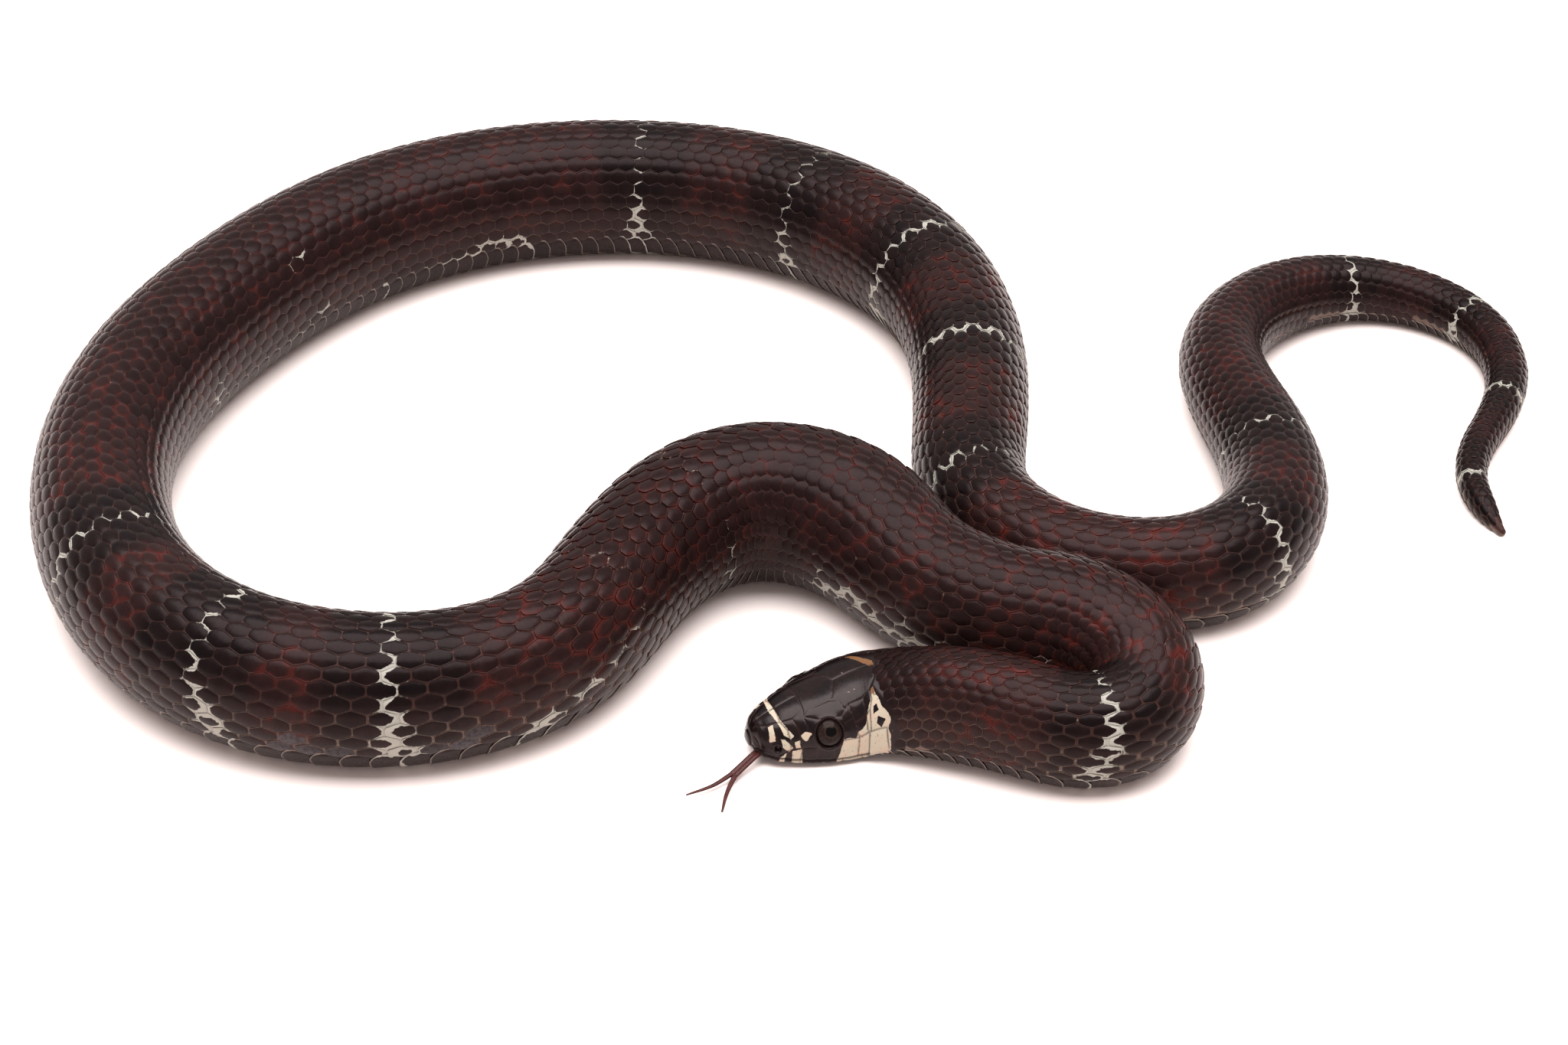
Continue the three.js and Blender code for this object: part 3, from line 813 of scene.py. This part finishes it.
def buildBelly():
    plates = []
    for s in stepsAlong(belly["from"], belly["to"]):
        if s < layout["vent"]:
            plates.append((s, -1.0, 1.0))
        else:
            plates.append((s, -1.0, belly["lapAcross"]))
            plates.append((s + float(between(layout["spacing"], s)) / 2, -belly["lapAcross"], 1.0))
    a = np.array([-0.25, 0.1, 0.5, 0.85, 1.0, belly["overlap"]])
    b = np.linspace(-1, 1, belly["across"])
    part = (a - a[0]) / (a[-1] - a[0])
    shape = (len(plates), len(a), len(b))
    points = np.empty((*shape, 3))
    uv = np.empty((*shape, 2))
    rim = np.empty(shape)
    bar = np.empty(shape)
    for k, (s, left, right) in enumerate(plates):
        step = float(between(layout["spacing"], s))
        side = left + (right - left) * (b + 1) / 2
        # the rear corners run back into a point
        corner = np.clip((np.abs(side) - belly["cornerFrom"]) / (1 - belly["cornerFrom"]), 0, 1)
        rear = 1 - belly["cornerCut"] * corner**2
        x = a[:, None] * step * np.where(a[:, None] > 0.5, rear[None, :], 1)
        where = np.clip(s + x, 0.5, section["end"])
        fromCentre = np.broadcast_to(side * (1 - layout["cover"] + belly["lapAcross"]), where.shape)
        share = np.where(fromCentre >= 0, 1 - fromCentre, -1 - fromCentre)
        flank = smooth(*belly["flank"], np.abs(side))
        tipLift = belly["tip"] + (belly["sideTip"] - belly["tip"]) * flank
        rootLift = belly["root"] + (belly["sideRoot"] - belly["root"]) * flank
        points[k] = onSkin(where, share, rootLift + (tipLift - rootLift) * part[:, None])
        toSide = (1 - np.abs(side)) * belly["rimWidth"] * girthAt(s)
        rim[k] = np.minimum((a[-1] - a)[:, None] * step, toSide)
        bar[k] = barAmount(where, np.full_like(where, belly["barAt"])) * belly["barShare"]
        rootU = 0.02 + 0.95 * (s - belly["from"]) / belly["mapLength"]
        uv[k, :, :, 0] = rootU + belly["patch"] * part[:, None]
        uv[k, :, :, 1] = 0.5 + 0.45 * side
    points = points.reshape(-1, 3)
    points[:, 2] = np.maximum(points[:, 2], 0.0)
    perPlate = len(a) * len(b)
    first = (np.arange(len(plates)) * perPlate)[:, None, None]
    faces = (gridFaces(len(a), len(b))[None] + first).reshape(-1, 4)
    values = {
        "rim": rim, "bar": bar, "redness": np.zeros(shape), "low": np.ones(shape), "grey": np.zeros(shape),
        "tone": np.repeat(rng.uniform(0, 1, len(plates)), perPlate),
    }
    return makeMesh("belly", points, [faces], values, uv.reshape(-1, 2))


bellyPiece = buildBelly()
bellyMaterial = scaleMaterial("bellyPlate", paint["creamCold"], paint["plateEdge"], 0.30, 0.4)
bellyPiece.data.materials.append(bellyMaterial)
thick = bellyPiece.modifiers.new("thickness", "SOLIDIFY")
thick.thickness = belly["thickness"] * mm
thick.offset = 1
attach(bellyPiece, "root")
print("belly plates made")

# head: fine skin with plates, seams, mouth, nostrils and eye rims
head = {
    "to": 33.0,
    "rings": 300,
    "around": 300,
    "seamDepth": 0.09,
    "seamWidth": 0.10,
    "pillow": 0.10,
    "pillowWidth": 0.55,
    # height above the widest line, how far back it runs, depth and half width, then the lip's swell
    "mouthHeight": 0.35,
    "mouthTo": 21.5,
    "mouth": (0.34, 0.17),
    "lip": (0.07, 0.5, 0.28),
    # distance from the snout, distance out, height, radius; then dip, ring and brow of the skin round it
    "eye": (11.9, 6.1, 5.75, 2.6),
    "eyeSkin": (0.75, 0.13, 0.16),
    # distance from the snout, height, radius, depth, swell round it
    "nostril": (3.3, 3.9, 0.62, 0.7125, 0.08),
    # how far the skin sinks under the first scales and at its rear edge
    "sink": (0.16, 0.35),
    "capRows": 7,
    "capDepth": 0.42,
    # seams across the crown: distance from the snout, arc from the middle of the crown
    "crown": [
        [(1.0, 0), (4.6, 0), (8.4, 0)],
        [(4.4, -3.2), (4.7, 0), (4.4, 3.2)],
        [(8.4, -3.4), (8.6, 0), (8.4, 3.4)],
        [(15.2, 0), (19.2, 0.1), (22.4, 0)],
    ],
    # seams of one side, used on both
    "side": [
        [(0.5, 2.2), (0.8, 3.6), (1.0, 5.4), (1.1, 6.6)],
        [(0.7, 1.0), (2.4, 2.4), (4.4, 3.2)],
        [(4.4, 3.2), (5.2, 5.2), (5.3, 8.2)],
        [(4.6, 3.4), (6.4, 4.0), (8.4, 3.4)],
        [(6.4, 4.0), (6.9, 6.4), (6.8, 8.6)],
        [(8.4, 3.4), (8.1, 4.6), (8.3, 6.6)],
        [(8.1, 4.6), (9.8, 3.8), (12.7, 3.7), (13.6, 3.3), (15.2, 0)],
        [(8.1, 4.6), (10.2, 6.2), (12.2, 6.9), (13.7, 7.2), (14.6, 6.5)],
        [(12.7, 3.7), (14.1, 4.3), (14.6, 6.5)],
        [(14.6, 6.5), (15.4, 6.0), (18.5, 6.3), (21.4, 5.4), (22.6, 3.6), (22.5, 0)],
        [(13.9, 8.6), (15.6, 8.3), (15.4, 6.0)],
        [(15.6, 8.3), (15.9, 11.6)],
        [(15.7, 9.4), (18.8, 9.2), (21.8, 9.0)],
        [(19.0, 6.3), (18.8, 9.2), (19.4, 11.9)],
        [(21.4, 5.4), (22.4, 7.4), (21.8, 9.0), (22.6, 11.4)],
        [(1.6, 8.2), (5.2, 8.6), (7.0, 9.4), (8.9, 10.4)],
        [(13.4, 11.2), (15.6, 12.0), (19.4, 12.3), (23.0, 13.0), (27.4, 13.2)],
        [(22.6, 11.4), (23.0, 13.0)],
        [(27.4, 13.2), (27.8, 15.4), (28.2, 17.4)],
    ],
    "labials": [4.9, 7.1, 9.7, 12.4, 16.2, 22.2],
    "labialTops": [(2, 8.3), (5.2, 8.6), (8.9, 10.4), (13.4, 11.2), (19.4, 12.3), (27, 13.2)],
    "labialSlant": 0.5,
    "lowerLabials": [2.6, 5.2, 7.6, 10.2, 13.2, 16.6, 20.6],
    "lowerLabialReach": (0.6, 2.4),
    "chinLine": 2.3,
}
headMask = {
    # pale areas of one side: outlines as distance from the snout, arc from the middle of the crown
    "cream": [
        [(3.6, -0.1), (4.5, -0.1), (4.6, 2.8), (5.3, 5.2), (6.0, 6.6), (5.4, 6.9), (4.5, 5.5), (3.9, 2.2)],
        [(2.5, 2.8), (3.3, 2.9), (3.1, 5.6), (2.3, 5.2)],
        [(3.9, 5.7), (4.6, 6.3), (5.6, 8.4), (4.9, 8.8), (4.1, 7.4)],
        [(5.9, 7.6), (6.8, 7.9), (6.7, 9.2), (6.1, 8.9)],
        [(5.5, 9.0), (6.9, 9.6), (7.0, 12.6), (5.2, 12.0)],
        [(3.6, 9.0), (4.6, 8.7), (4.2, 10.4), (3.2, 10.6)],
        [(6.9, 7.2), (7.7, 7.0), (8.8, 7.8), (7.7, 8.7)],
        [
            (13.6, 11.2), (14.5, 11.3), (15.5, 12.1), (15.9, 11.1), (18.6, 10.4), (20.4, 8.8), (22.0, 7.6),
            (21.9, 5.6), (22.5, 5.1), (23.6, 6.8), (24.3, 7.4), (25.7, 9.3), (27.0, 10.3), (28.1, 11.7),
            (27.7, 13.3), (28.4, 14.9), (28.6, 17.6), (28.0, 18.4), (20.6, 17.4), (12.2, 15.6),
            (13.0, 12.8),
        ],
    ],
    "darkSpots": [
        [(23.2, 8.8), (24.0, 8.4), (24.9, 9.6), (23.4, 10.1)],
        [(24.9, 10.7), (27.0, 11.6), (26.1, 12.9), (24.7, 11.9)],
    ],
    # the bar behind the parting, across the middle
    "tan": [
        (18.8, -4.4), (19.5, -4.3), (20.6, -2.5), (22.0, -1.0), (22.4, 0.3), (21.6, 0.3), (20.4, -1.2),
        (19.3, -3.2),
    ],
}


def denser(line, gap=0.2):
    rows = [line[0]]
    for (a0, b0), (a1, b1) in zip(line[:-1], line[1:]):
        parts = max(1, int(math.hypot(a1 - a0, b1 - b0) / gap))
        for k in range(1, parts + 1):
            rows.append((a0 + (a1 - a0) * k / parts, b0 + (b1 - b0) * k / parts))
    return np.array(rows)


def distanceTo(points, chain):
    # chain rows: distance from the snout, arc from the middle of the crown
    chain = onSkin(chain[:, 0], chain[:, 1] / girthAt(chain[:, 0]), np.zeros(len(chain)))
    best = np.empty(len(points))
    for k in range(0, len(points), 4000):
        part = points[k:k + 4000]
        best[k:k + 4000] = np.linalg.norm(part[:, None, :] - chain[None, :, :], axis=2).min(axis=1)
    return best


def inside(at, arc, outline):
    result = np.zeros(at.shape, bool)
    for (x0, y0), (x1, y1) in zip(outline, outline[1:] + outline[:1]):
        crosses = (y0 > arc) != (y1 > arc)
        with np.errstate(divide="ignore", invalid="ignore"):
            edge = (x1 - x0) * (arc - y0) / (y1 - y0) + x0
        result ^= crosses & (at < edge)
    return result


def patch(points, at, arc, outline, soft):
    gap = distanceTo(points, denser(outline + outline[:1], 0.15))
    return smooth(-soft, soft, np.where(inside(at, arc, outline), gap, -gap))


def mouthArc(at):
    # arc of the mouth line from the middle of the crown
    lip = along(sectionTable[:, [0, 3]], at) + head["mouthHeight"]
    rows = np.clip((at / section["step"]).astype(int), 0, len(stations) - 1)
    half = section["around"] // 2
    below = [np.argmax(skinRings[k, half:, 1] < height) for k, height in zip(rows, lip)]
    return np.array(below) / half * girthAt(at)


def headSeams():
    # the seams of the crown, then those of one side and their mirror image
    lipAt = np.arange(0.6, head["mouthTo"] + 6, 0.25)
    lipArc = mouthArc(lipAt)
    oneSide = [denser(line) for line in head["side"]]
    for at in head["labials"]:
        top = between(head["labialTops"], at)
        front = at - head["labialSlant"]
        low = np.interp(front, lipAt, lipArc / girthAt(lipAt)) * girthAt(at)
        oneSide.append(denser([(at, top), (front, low)]))
    back, down = head["lowerLabialReach"]
    for at in head["lowerLabials"]:
        low = np.interp(at, lipAt, lipArc / girthAt(lipAt)) * girthAt(at)
        oneSide.append(denser([(at, low), (at + back, low + down)]))
    oneSide.append(denser([tuple(row) for row in np.stack([lipAt, lipArc + head["chinLine"]], axis=1)[::2]]))
    oneSide = np.vstack(oneSide)
    return np.vstack([denser(line) for line in head["crown"]] + [oneSide * [1, -1], oneSide])


def buildHead():
    at = head["to"] * np.linspace(0, 1, head["rings"]) ** 1.15
    share = np.linspace(-1, 1, head["around"] + 1)[:-1]
    s, f = [axis.ravel() for axis in np.meshgrid(at, share, indexing="ij")]
    base = onSkin(s, f, np.zeros(len(s)))
    arc = f * girthAt(s)
    gap = distanceTo(base, headSeams())
    push = head["pillow"] * (1 - np.exp(-gap / head["pillowWidth"]))
    push = push - head["seamDepth"] * bell(gap / head["seamWidth"])
    # mouth line on both sides and round the snout
    lipAt = np.arange(0.0, head["mouthTo"] + 0.2, 0.2)
    lip = np.stack([lipAt, mouthArc(lipAt)], axis=1)
    mouthGap = distanceTo(base, np.vstack([lip * [1, -1], lip]))
    depth, halfWidth = head["mouth"]
    swell, swellAt, swellWidth = head["lip"]
    push = push - depth * bell(mouthGap / halfWidth) + swell * bell((mouthGap - swellAt) / swellWidth)
    # eyes: the skin dips under the ball and stands as a low ring round it
    eyeAt, eyeOut, eyeUp, eyeRadius = head["eye"]
    dip, swollen, brow = head["eyeSkin"]
    noseAt, noseUp, noseRadius, noseDepth, noseSwell = head["nostril"]
    noseOut = along(sectionTable[:, [0, 1]], noseAt) * 0.98
    eyeRimShade = np.zeros(len(base))
    pit = np.zeros(len(base))
    for sign in (-1, 1):
        far = np.linalg.norm(base - besideSpine(eyeAt, eyeOut * sign, eyeUp), axis=1) - eyeRadius
        above = smooth(1.2, 2.6, base[:, 2] - eyeUp)
        push = push - dip * (1 - smooth(-0.05, 0.28, far)) + swollen * bell((far - 0.42) / 0.17)
        push = push + brow * bell((far - 0.3) / 0.5) * above
        # a ring of painted shade where the skin meets the eye
        eyeRimShade = np.maximum(eyeRimShade, bell((far - 0.16) / 0.16))
        far = np.linalg.norm(base - besideSpine(noseAt, noseOut * sign, noseUp), axis=1)
        # the nostril pit is a dent with painted shade in it
        pit = np.maximum(pit, 1 - smooth(noseRadius * 0.45, noseRadius * 1.15, far))
        push = push + noseSwell * bell((far - noseRadius * 1.35) / 0.22)
    push = push - noseDepth * pit
    # under the first scales the head skin sinks a little, and it closes at both ends
    sink, sinkEnd = head["sink"]
    push = push - sink * smooth(-0.4, 1.2, s - between(scale["start"], np.abs(arc)))
    push = push * smooth(0.0, 0.35, s) * (1 - smooth(head["to"] - 1.5, head["to"], s))
    push = push - sinkEnd * smooth(head["to"] - 2, head["to"], s)
    points = base + bilinear(skinNormal, s, f) * push[:, None]
    points[:, 2] = np.maximum(points[:, 2], 0.0)
    # colours: the pale areas are the same on both sides
    cream = np.zeros(len(base))
    for outline in headMask["cream"]:
        cream = np.maximum(cream, patch(base, s, np.abs(arc), outline, 0.22))
    for outline in headMask["darkSpots"]:
        cream = cream * (1 - patch(base, s, np.abs(arc), outline, 0.16))
    tan = patch(base, s, arc, headMask["tan"], 0.24)
    tan = np.maximum(tan, cream * (1 - smooth(5.6, 7.6, np.abs(arc))) * smooth(19, 21, s))
    # dark along the plate seams, and painted shade along the mouth line, round each eye and in the nostril
    # pits
    seam = np.max([bell(gap / 0.14), bell(mouthGap / 0.22), eyeRimShade, pit], axis=0)
    # rounded cap over the tip of the snout
    count = len(share)
    ahead = directions(math.radians(course["heading"]))[0]
    ring = points[:count]
    middle = ring.mean(axis=0)
    caps = []
    for k in range(head["capRows"], 0, -1):
        angle = math.pi / 2 * k / (head["capRows"] + 0.35)
        forward = middle - ahead * head["capDepth"] * math.sin(angle)
        caps.append(forward + (ring - middle) * math.cos(angle))
    points = np.vstack([*caps, points, middle - ahead * (head["capDepth"] + 0.02)])
    first = np.arange(count)
    quads = gridFaces(head["capRows"] + len(at), count, closed=True)
    values = {"cream": cream, "tan": tan, "seam": seam}
    values = {key: np.pad(value, (head["capRows"] * count, 1)) for key, value in values.items()}
    return makeMesh("head", points, [quads, fan(np.roll(first, -1), first, len(points) - 1)], values)


headPiece = buildHead()
print("head made")


def headPaint():
    colours = {
        "Dark": paint["dark"], "Warm": paint["darkWarm"], "Cream": paint["cheek"], "Tan": paint["tan"],
        "Seam and shade colour": paint["seam"],
    }
    tree, given, result = newGroup("headPaint", colours, {"Pale": 0, "Tan amount": 0, "Seam": 0})
    g = given.outputs
    fine = noise(tree, 1900, 4)
    broad = noise(tree, 420)
    jitter = minus(tree, fine, 0.5)
    base = mixColour(tree, ramp(tree, broad, 0.35, 0.65, 0.0, 0.35), g["Dark"], g["Warm"])
    edge = plus(tree, g["Pale"], times(tree, jitter, 1.1))
    paleMask = ramp(tree, plus(tree, edge, times(tree, minus(tree, broad, 0.5), 1.3)), 0.34, 0.66)
    flecks = ramp(tree, noise(tree, 2600, 2), 0.62, 0.74, 1.0, 0.25)
    creamTone = mixColour(tree, ramp(tree, broad, 0.4, 0.7), g["Cream"], paint["cheekWarm"])
    base = mixColour(tree, times(tree, paleMask, flecks), base, creamTone)
    tanMask = ramp(tree, plus(tree, g["Tan amount"], times(tree, jitter, 1.4)), 0.36, 0.66)
    base = mixColour(tree, tanMask, base, g["Tan"])
    # darker seams, and painted shade in the mouth line, eye rims and nostrils
    base = mixColour(tree, times(tree, g["Seam"], 0.8), base, g["Seam and shade colour"])
    tree.links.new(base, result.inputs["Color"])
    rough = plus(tree, ramp(tree, fine, 0.3, 0.7, 0.20, 0.28), times(tree, paleMask, 0.16))
    tree.links.new(rough, result.inputs["Roughness"])
    tree.links.new(fine, result.inputs["Relief"])
    return tree


headMaterial, tree, shader = newMaterial("headHorn")
addPaint(tree, shader, headPaint(), {"Pale": "cream", "Tan amount": "tan", "Seam": "seam"}, 0.35, 0.00002)
shader.inputs["Specular IOR Level"].default_value = 0.17
shader.inputs["Specular Tint"].default_value = (1.0, 0.84, 0.84, 1)
headPiece.data.materials.append(headMaterial)
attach(headPiece, "root")
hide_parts("head")

# eyes: a glossy ball with a round pupil
eye = {
    "outward": 0.80, "snoutward": 0.14, "upward": 0.58, "pupil": 0.36, "iris": 1.05,
    "rings": 56, "around": 72, "bulge": 0.012, "poleGap": 0.012,
}


def buildEye(name, sign):
    eyeAt, eyeOut, eyeUp, radius = head["eye"]
    middle = besideSpine(eyeAt, eyeOut * sign, eyeUp)
    ahead, left = directions(spineAt(eyeAt)[1])
    axis = left * sign * eye["outward"] - ahead * eye["snoutward"] + np.array([0, 0, eye["upward"]])
    axis = axis / np.linalg.norm(axis)
    across = np.cross(axis, [0, 0, 1.0])
    across = across / np.linalg.norm(across)
    other = np.cross(axis, across)
    polar = np.linspace(eye["poleGap"], math.pi - eye["poleGap"], eye["rings"])
    p, q = np.meshgrid(polar, np.linspace(0, 2 * math.pi, eye["around"], endpoint=False), indexing="ij")
    bulge = radius * (1 + eye["bulge"] * bell(p / 0.5))[..., None]
    p3, q3 = p[..., None], q[..., None]
    points = middle + (axis * np.cos(p3) + (across * np.cos(q3) + other * np.sin(q3)) * np.sin(p3)) * bulge
    poles = [middle + axis * radius * (1 + eye["bulge"]), middle - axis * radius]
    points = np.vstack([points.reshape(-1, 3), *poles])
    first = np.arange(eye["around"])
    last = (eye["rings"] - 1) * eye["around"] + first
    ends = np.vstack([
        fan(first, np.roll(first, -1), len(points) - 2),
        fan(last, np.roll(last, -1), len(points) - 1)[:, ::-1],
    ])
    quads = gridFaces(eye["rings"], eye["around"], closed=True)[:, ::-1]
    return makeMesh(name, points, [quads, ends], {"fromPupil": np.append(p, [0, math.pi])})


eyeMaterial, tree, shader = newMaterial("eyeBall")
fromPupil = readAttribute(tree, "fromPupil")
irisTone = ramp(tree, noise(tree, 2400), 0.35, 0.65)
eyeColour = mixColour(tree, irisTone, paint["irisDark"], paint["irisLight"])
for low, high, outLow, outHigh, tone in (
    (eye["pupil"] + 0.03, eye["pupil"] + 0.16, 1.0, 0.0, "irisRing"),
    (eye["iris"] - 0.18, eye["iris"] + 0.1, 0.0, 1.0, "irisEdge"),
    (eye["pupil"] - 0.03, eye["pupil"] + 0.04, 1.0, 0.0, "pupil"),
):
    eyeColour = mixColour(tree, ramp(tree, fromPupil, low, high, outLow, outHigh), eyeColour, paint[tone])
tree.links.new(eyeColour, shader.inputs["Base Color"])
shader.inputs["Roughness"].default_value = 0.14
shader.inputs["Specular IOR Level"].default_value = 0.06
shader.inputs["Specular Tint"].default_value = (1.0, 0.86, 0.84, 1)
for name, sign in (("eye_near", -1), ("eye_far", 1)):
    piece = buildEye(name, sign)
    piece.data.materials.append(eyeMaterial)
    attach(piece, "root")
    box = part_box("eye_left")
    leftMiddle = (Vector(box[0]) + Vector(box[1])) / 2
    mine = Vector(np.mean([v.co for v in piece.data.vertices], axis=0))
    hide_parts("eye_left" if (leftMiddle - mine).length < 0.004 else "eye_right")
print("eyes made")

# tongue: forked, with a groove along the stem
tongue = {
    # distance from the snout, out, up
    "stem": [(3.6, -1.3, 1.9), (0.4, -2.8, 2.0), (-2.4, -4.3, 1.6), (-5.2, -5.8, 1.1)],
    "nearTine": [(-5.2, -5.8, 1.1), (-7.2, -9.0, 0.8), (-9.7, -13.2, 0.7)],
    "farTine": [(-5.2, -5.8, 1.1), (-8.5, -6.4, 0.8), (-13.6, -7.0, 0.7)],
    "tineSide": 0.36,
    "tineRoot": 0.5,
    "around": 28,
    "stemRings": 60,
    "tineRings": 50,
    "stemGroove": 0.55,
    "tineGroove": 0.15,
    "halfWidth": 0.92,
    "thickness": 0.8,
    "tineHalfWidth": 0.45,
    "tipHalfWidth": 0.14,
}


def headPlace(row):
    at, out, up = row
    ahead, left = directions(math.radians(course["heading"]))
    return np.array([*course["snout"], up]) + ahead * at + left * out


def curveThrough(rows, count):
    rows = np.array(rows)
    walk = np.concatenate([[0], np.cumsum(np.linalg.norm(np.diff(rows, axis=0), axis=1))])
    q = np.linspace(0, walk[-1], count)
    line = [along(np.stack([walk, rows[:, k]], axis=1), q) for k in range(3)]
    return np.stack(line, axis=1), q / walk[-1]


def ribbon(rows, count, widthAt, thickAt, groove):
    # a flattened tube with a groove along its top
    line, part = curveThrough(rows, count)
    step = np.gradient(line, axis=0)
    step = step / np.linalg.norm(step, axis=1, keepdims=True)
    side = np.stack([-step[:, 1], step[:, 0], np.zeros(count)], axis=1)
    side = side / np.linalg.norm(side, axis=1, keepdims=True)
    top = np.cross(step, side)
    top = top * np.sign(top[:, 2:3])
    angle = np.linspace(0, 2 * math.pi, tongue["around"], endpoint=False)
    out = np.cos(angle) * widthAt(part)[:, None]
    dent = groove * bell(np.cos(angle) / 0.26) * (np.sin(angle) > 0)
    up = (np.sin(angle) - dent) * thickAt(part)[:, None] / 2
    return line[:, None, :] + side[:, None, :] * out[..., None] + top[:, None, :] * up[..., None], part


def stemWidth(q):
    return tongue["halfWidth"] * (1 - 0.08 * np.sin(q * 3)) * (1 - 0.35 * smooth(0.93, 1.0, q))


def stemThickness(q):
    return tongue["thickness"] * (1 - 0.25 * smooth(0.9, 1.0, q))


def tineWidth(q):
    return tongue["tineHalfWidth"] * (1 - q) ** 0.8 + tongue["tipHalfWidth"] * q + 0.02


def tineThickness(q):
    return tongue["thickness"] * 0.85 * (1 - q) ** 0.7 + 0.24 * q


def buildTongue():
    stem = [headPlace(r) for r in tongue["stem"]]
    forward = stem[-1] - stem[-2]
    forward = forward / np.linalg.norm(forward)
    sideways = np.array([-forward[1], forward[0], 0])
    tube, part = ribbon(stem, tongue["stemRings"], stemWidth, stemThickness, tongue["stemGroove"])
    tubes = [(tube, 0.25 * part)]
    for key, sign in (("nearTine", 1), ("farTine", -1)):
        rows = [headPlace(r) for r in tongue[key]]
        rows[0] = rows[0] + sideways * tongue["tineSide"] * sign - forward * tongue["tineRoot"]
        tube, part = ribbon(rows, tongue["tineRings"], tineWidth, tineThickness, tongue["tineGroove"])
        tubes.append((tube, 0.25 + 0.75 * smooth(0.25, 1.0, part)))
    points = []
    faces = []
    fans = []
    pale = []
    base = 0
    first = np.arange(tongue["around"])
    for tube, paleness in tubes:
        last = (len(tube) - 1) * tongue["around"] + first
        tip = len(tube) * tongue["around"]
        points.extend([tube.reshape(-1, 3), tube[0].mean(axis=0), tube[-1].mean(axis=0)])
        faces.append(gridFaces(len(tube), tongue["around"], closed=True) + base)
        fans.append(fan(np.roll(first, -1), first, tip) + base)
        fans.append(fan(last, np.roll(last, -1), tip + 1) + base)
        pale.extend([np.repeat(paleness, tongue["around"]), paleness[[0, -1]]])
        base += tip + 2
    points = np.vstack(points)
    points[:, 2] = np.maximum(points[:, 2], 0.05)
    return makeMesh("tongue", points, [np.vstack(faces), np.vstack(fans)], {"pale": np.concatenate(pale)})


tonguePiece = buildTongue()
tongueMaterial, tree, shader = newMaterial("tongueSkin")
mottle = noise(tree, 2200)
mottled = ramp(tree, mottle, 0.3, 0.7)
stemColour = mixColour(tree, mottled, paint["tongueDark"], paint["tongueLight"])
tipColour = mixColour(tree, mottled, paint["tipDark"], paint["tipLight"])
tongueColour = mixColour(tree, readAttribute(tree, "pale"), stemColour, tipColour)
tree.links.new(tongueColour, shader.inputs["Base Color"])
shader.inputs["Roughness"].default_value = 0.36
shader.inputs["Specular IOR Level"].default_value = 0.16
addRelief(tree, shader, mottle, 0.3, 0.00003)
tonguePiece.data.materials.append(tongueMaterial)
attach(tonguePiece, "root")
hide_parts("tongue")
print("tongue made")

# plain pale floor
studio = {"floorSize": 6.0, "floor": (0.90, 0.80, 0.77, 1), "floorRoughness": 0.65, "floorDrop": 0.00015}
half = studio["floorSize"] / 2
floorMesh = bpy.data.meshes.new("floor")
corners = [(x * half, y * half, -studio["floorDrop"]) for x, y in ((-1, -1), (1, -1), (1, 1), (-1, 1))]
floorMesh.from_pydata(corners, [], [(0, 1, 2, 3)])
floorPiece = bpy.data.objects.new("floor", floorMesh)
bpy.context.scene.collection.objects.link(floorPiece)
floorMaterial, tree, shader = newMaterial("paleFloor")
shader.inputs["Base Color"].default_value = studio["floor"]
shader.inputs["Roughness"].default_value = studio["floorRoughness"]
floorMesh.materials.append(floorMaterial)

# a wide soft light straight above, inside pale surroundings
light = {
    "place": (0.0, 0.0, 1.25), "size": (1.8, 1.3), "power": 55.0,
    "around": (1.0, 0.88, 0.85, 1), "aroundStrength": 0.86,
}
lamp = bpy.data.lights.new("top", "AREA")
lamp.shape = "RECTANGLE"
lamp.size, lamp.size_y = light["size"]
lamp.energy = light["power"]
holder = bpy.data.objects.new("top", lamp)
holder.location = light["place"]
downward = Vector((0, 0, 0)) - Vector(light["place"])
holder.rotation_euler = downward.to_track_quat("-Z", "Y").to_euler()
bpy.context.scene.collection.objects.link(holder)
world = bpy.data.worlds.new("studioWorld")
bpy.context.scene.world = world
world.use_nodes = True
worldTree = world.node_tree
around = worldTree.nodes["Background"]
around.inputs["Color"].default_value = light["around"]
around.inputs["Strength"].default_value = light["aroundStrength"]
# what shows behind the floor in low views
backdrop = worldTree.nodes.new("ShaderNodeBackground")
backdrop.inputs["Color"].default_value = (1, 1, 1, 1)
rays = worldTree.nodes.new("ShaderNodeLightPath")
blend = worldTree.nodes.new("ShaderNodeMixShader")
worldTree.links.new(rays.outputs["Is Camera Ray"], blend.inputs[0])
worldTree.links.new(around.outputs[0], blend.inputs[1])
worldTree.links.new(backdrop.outputs[0], blend.inputs[2])
worldTree.links.new(blend.outputs[0], worldTree.nodes["World Output"].inputs["Surface"])
bpy.context.scene.view_settings.view_transform = "Standard"

# camera at the photograph's angle
view = {"place": (-0.0057, -0.4495, 0.28974), "down": 34.0, "lens": 63.39, "sensor": 36.0}
cameraData = bpy.data.cameras.new("camera")
cameraData.lens = view["lens"]
cameraData.sensor_width = view["sensor"]
cameraData.sensor_fit = "HORIZONTAL"
cameraData.clip_start = 0.01
cameraData.clip_end = 20
camera = bpy.data.objects.new("camera", cameraData)
camera.location = view["place"]
camera.rotation_euler = (math.radians(90 - view["down"]), 0, 0)
bpy.context.scene.collection.objects.link(camera)
bpy.context.scene.camera = camera
print("studio made")
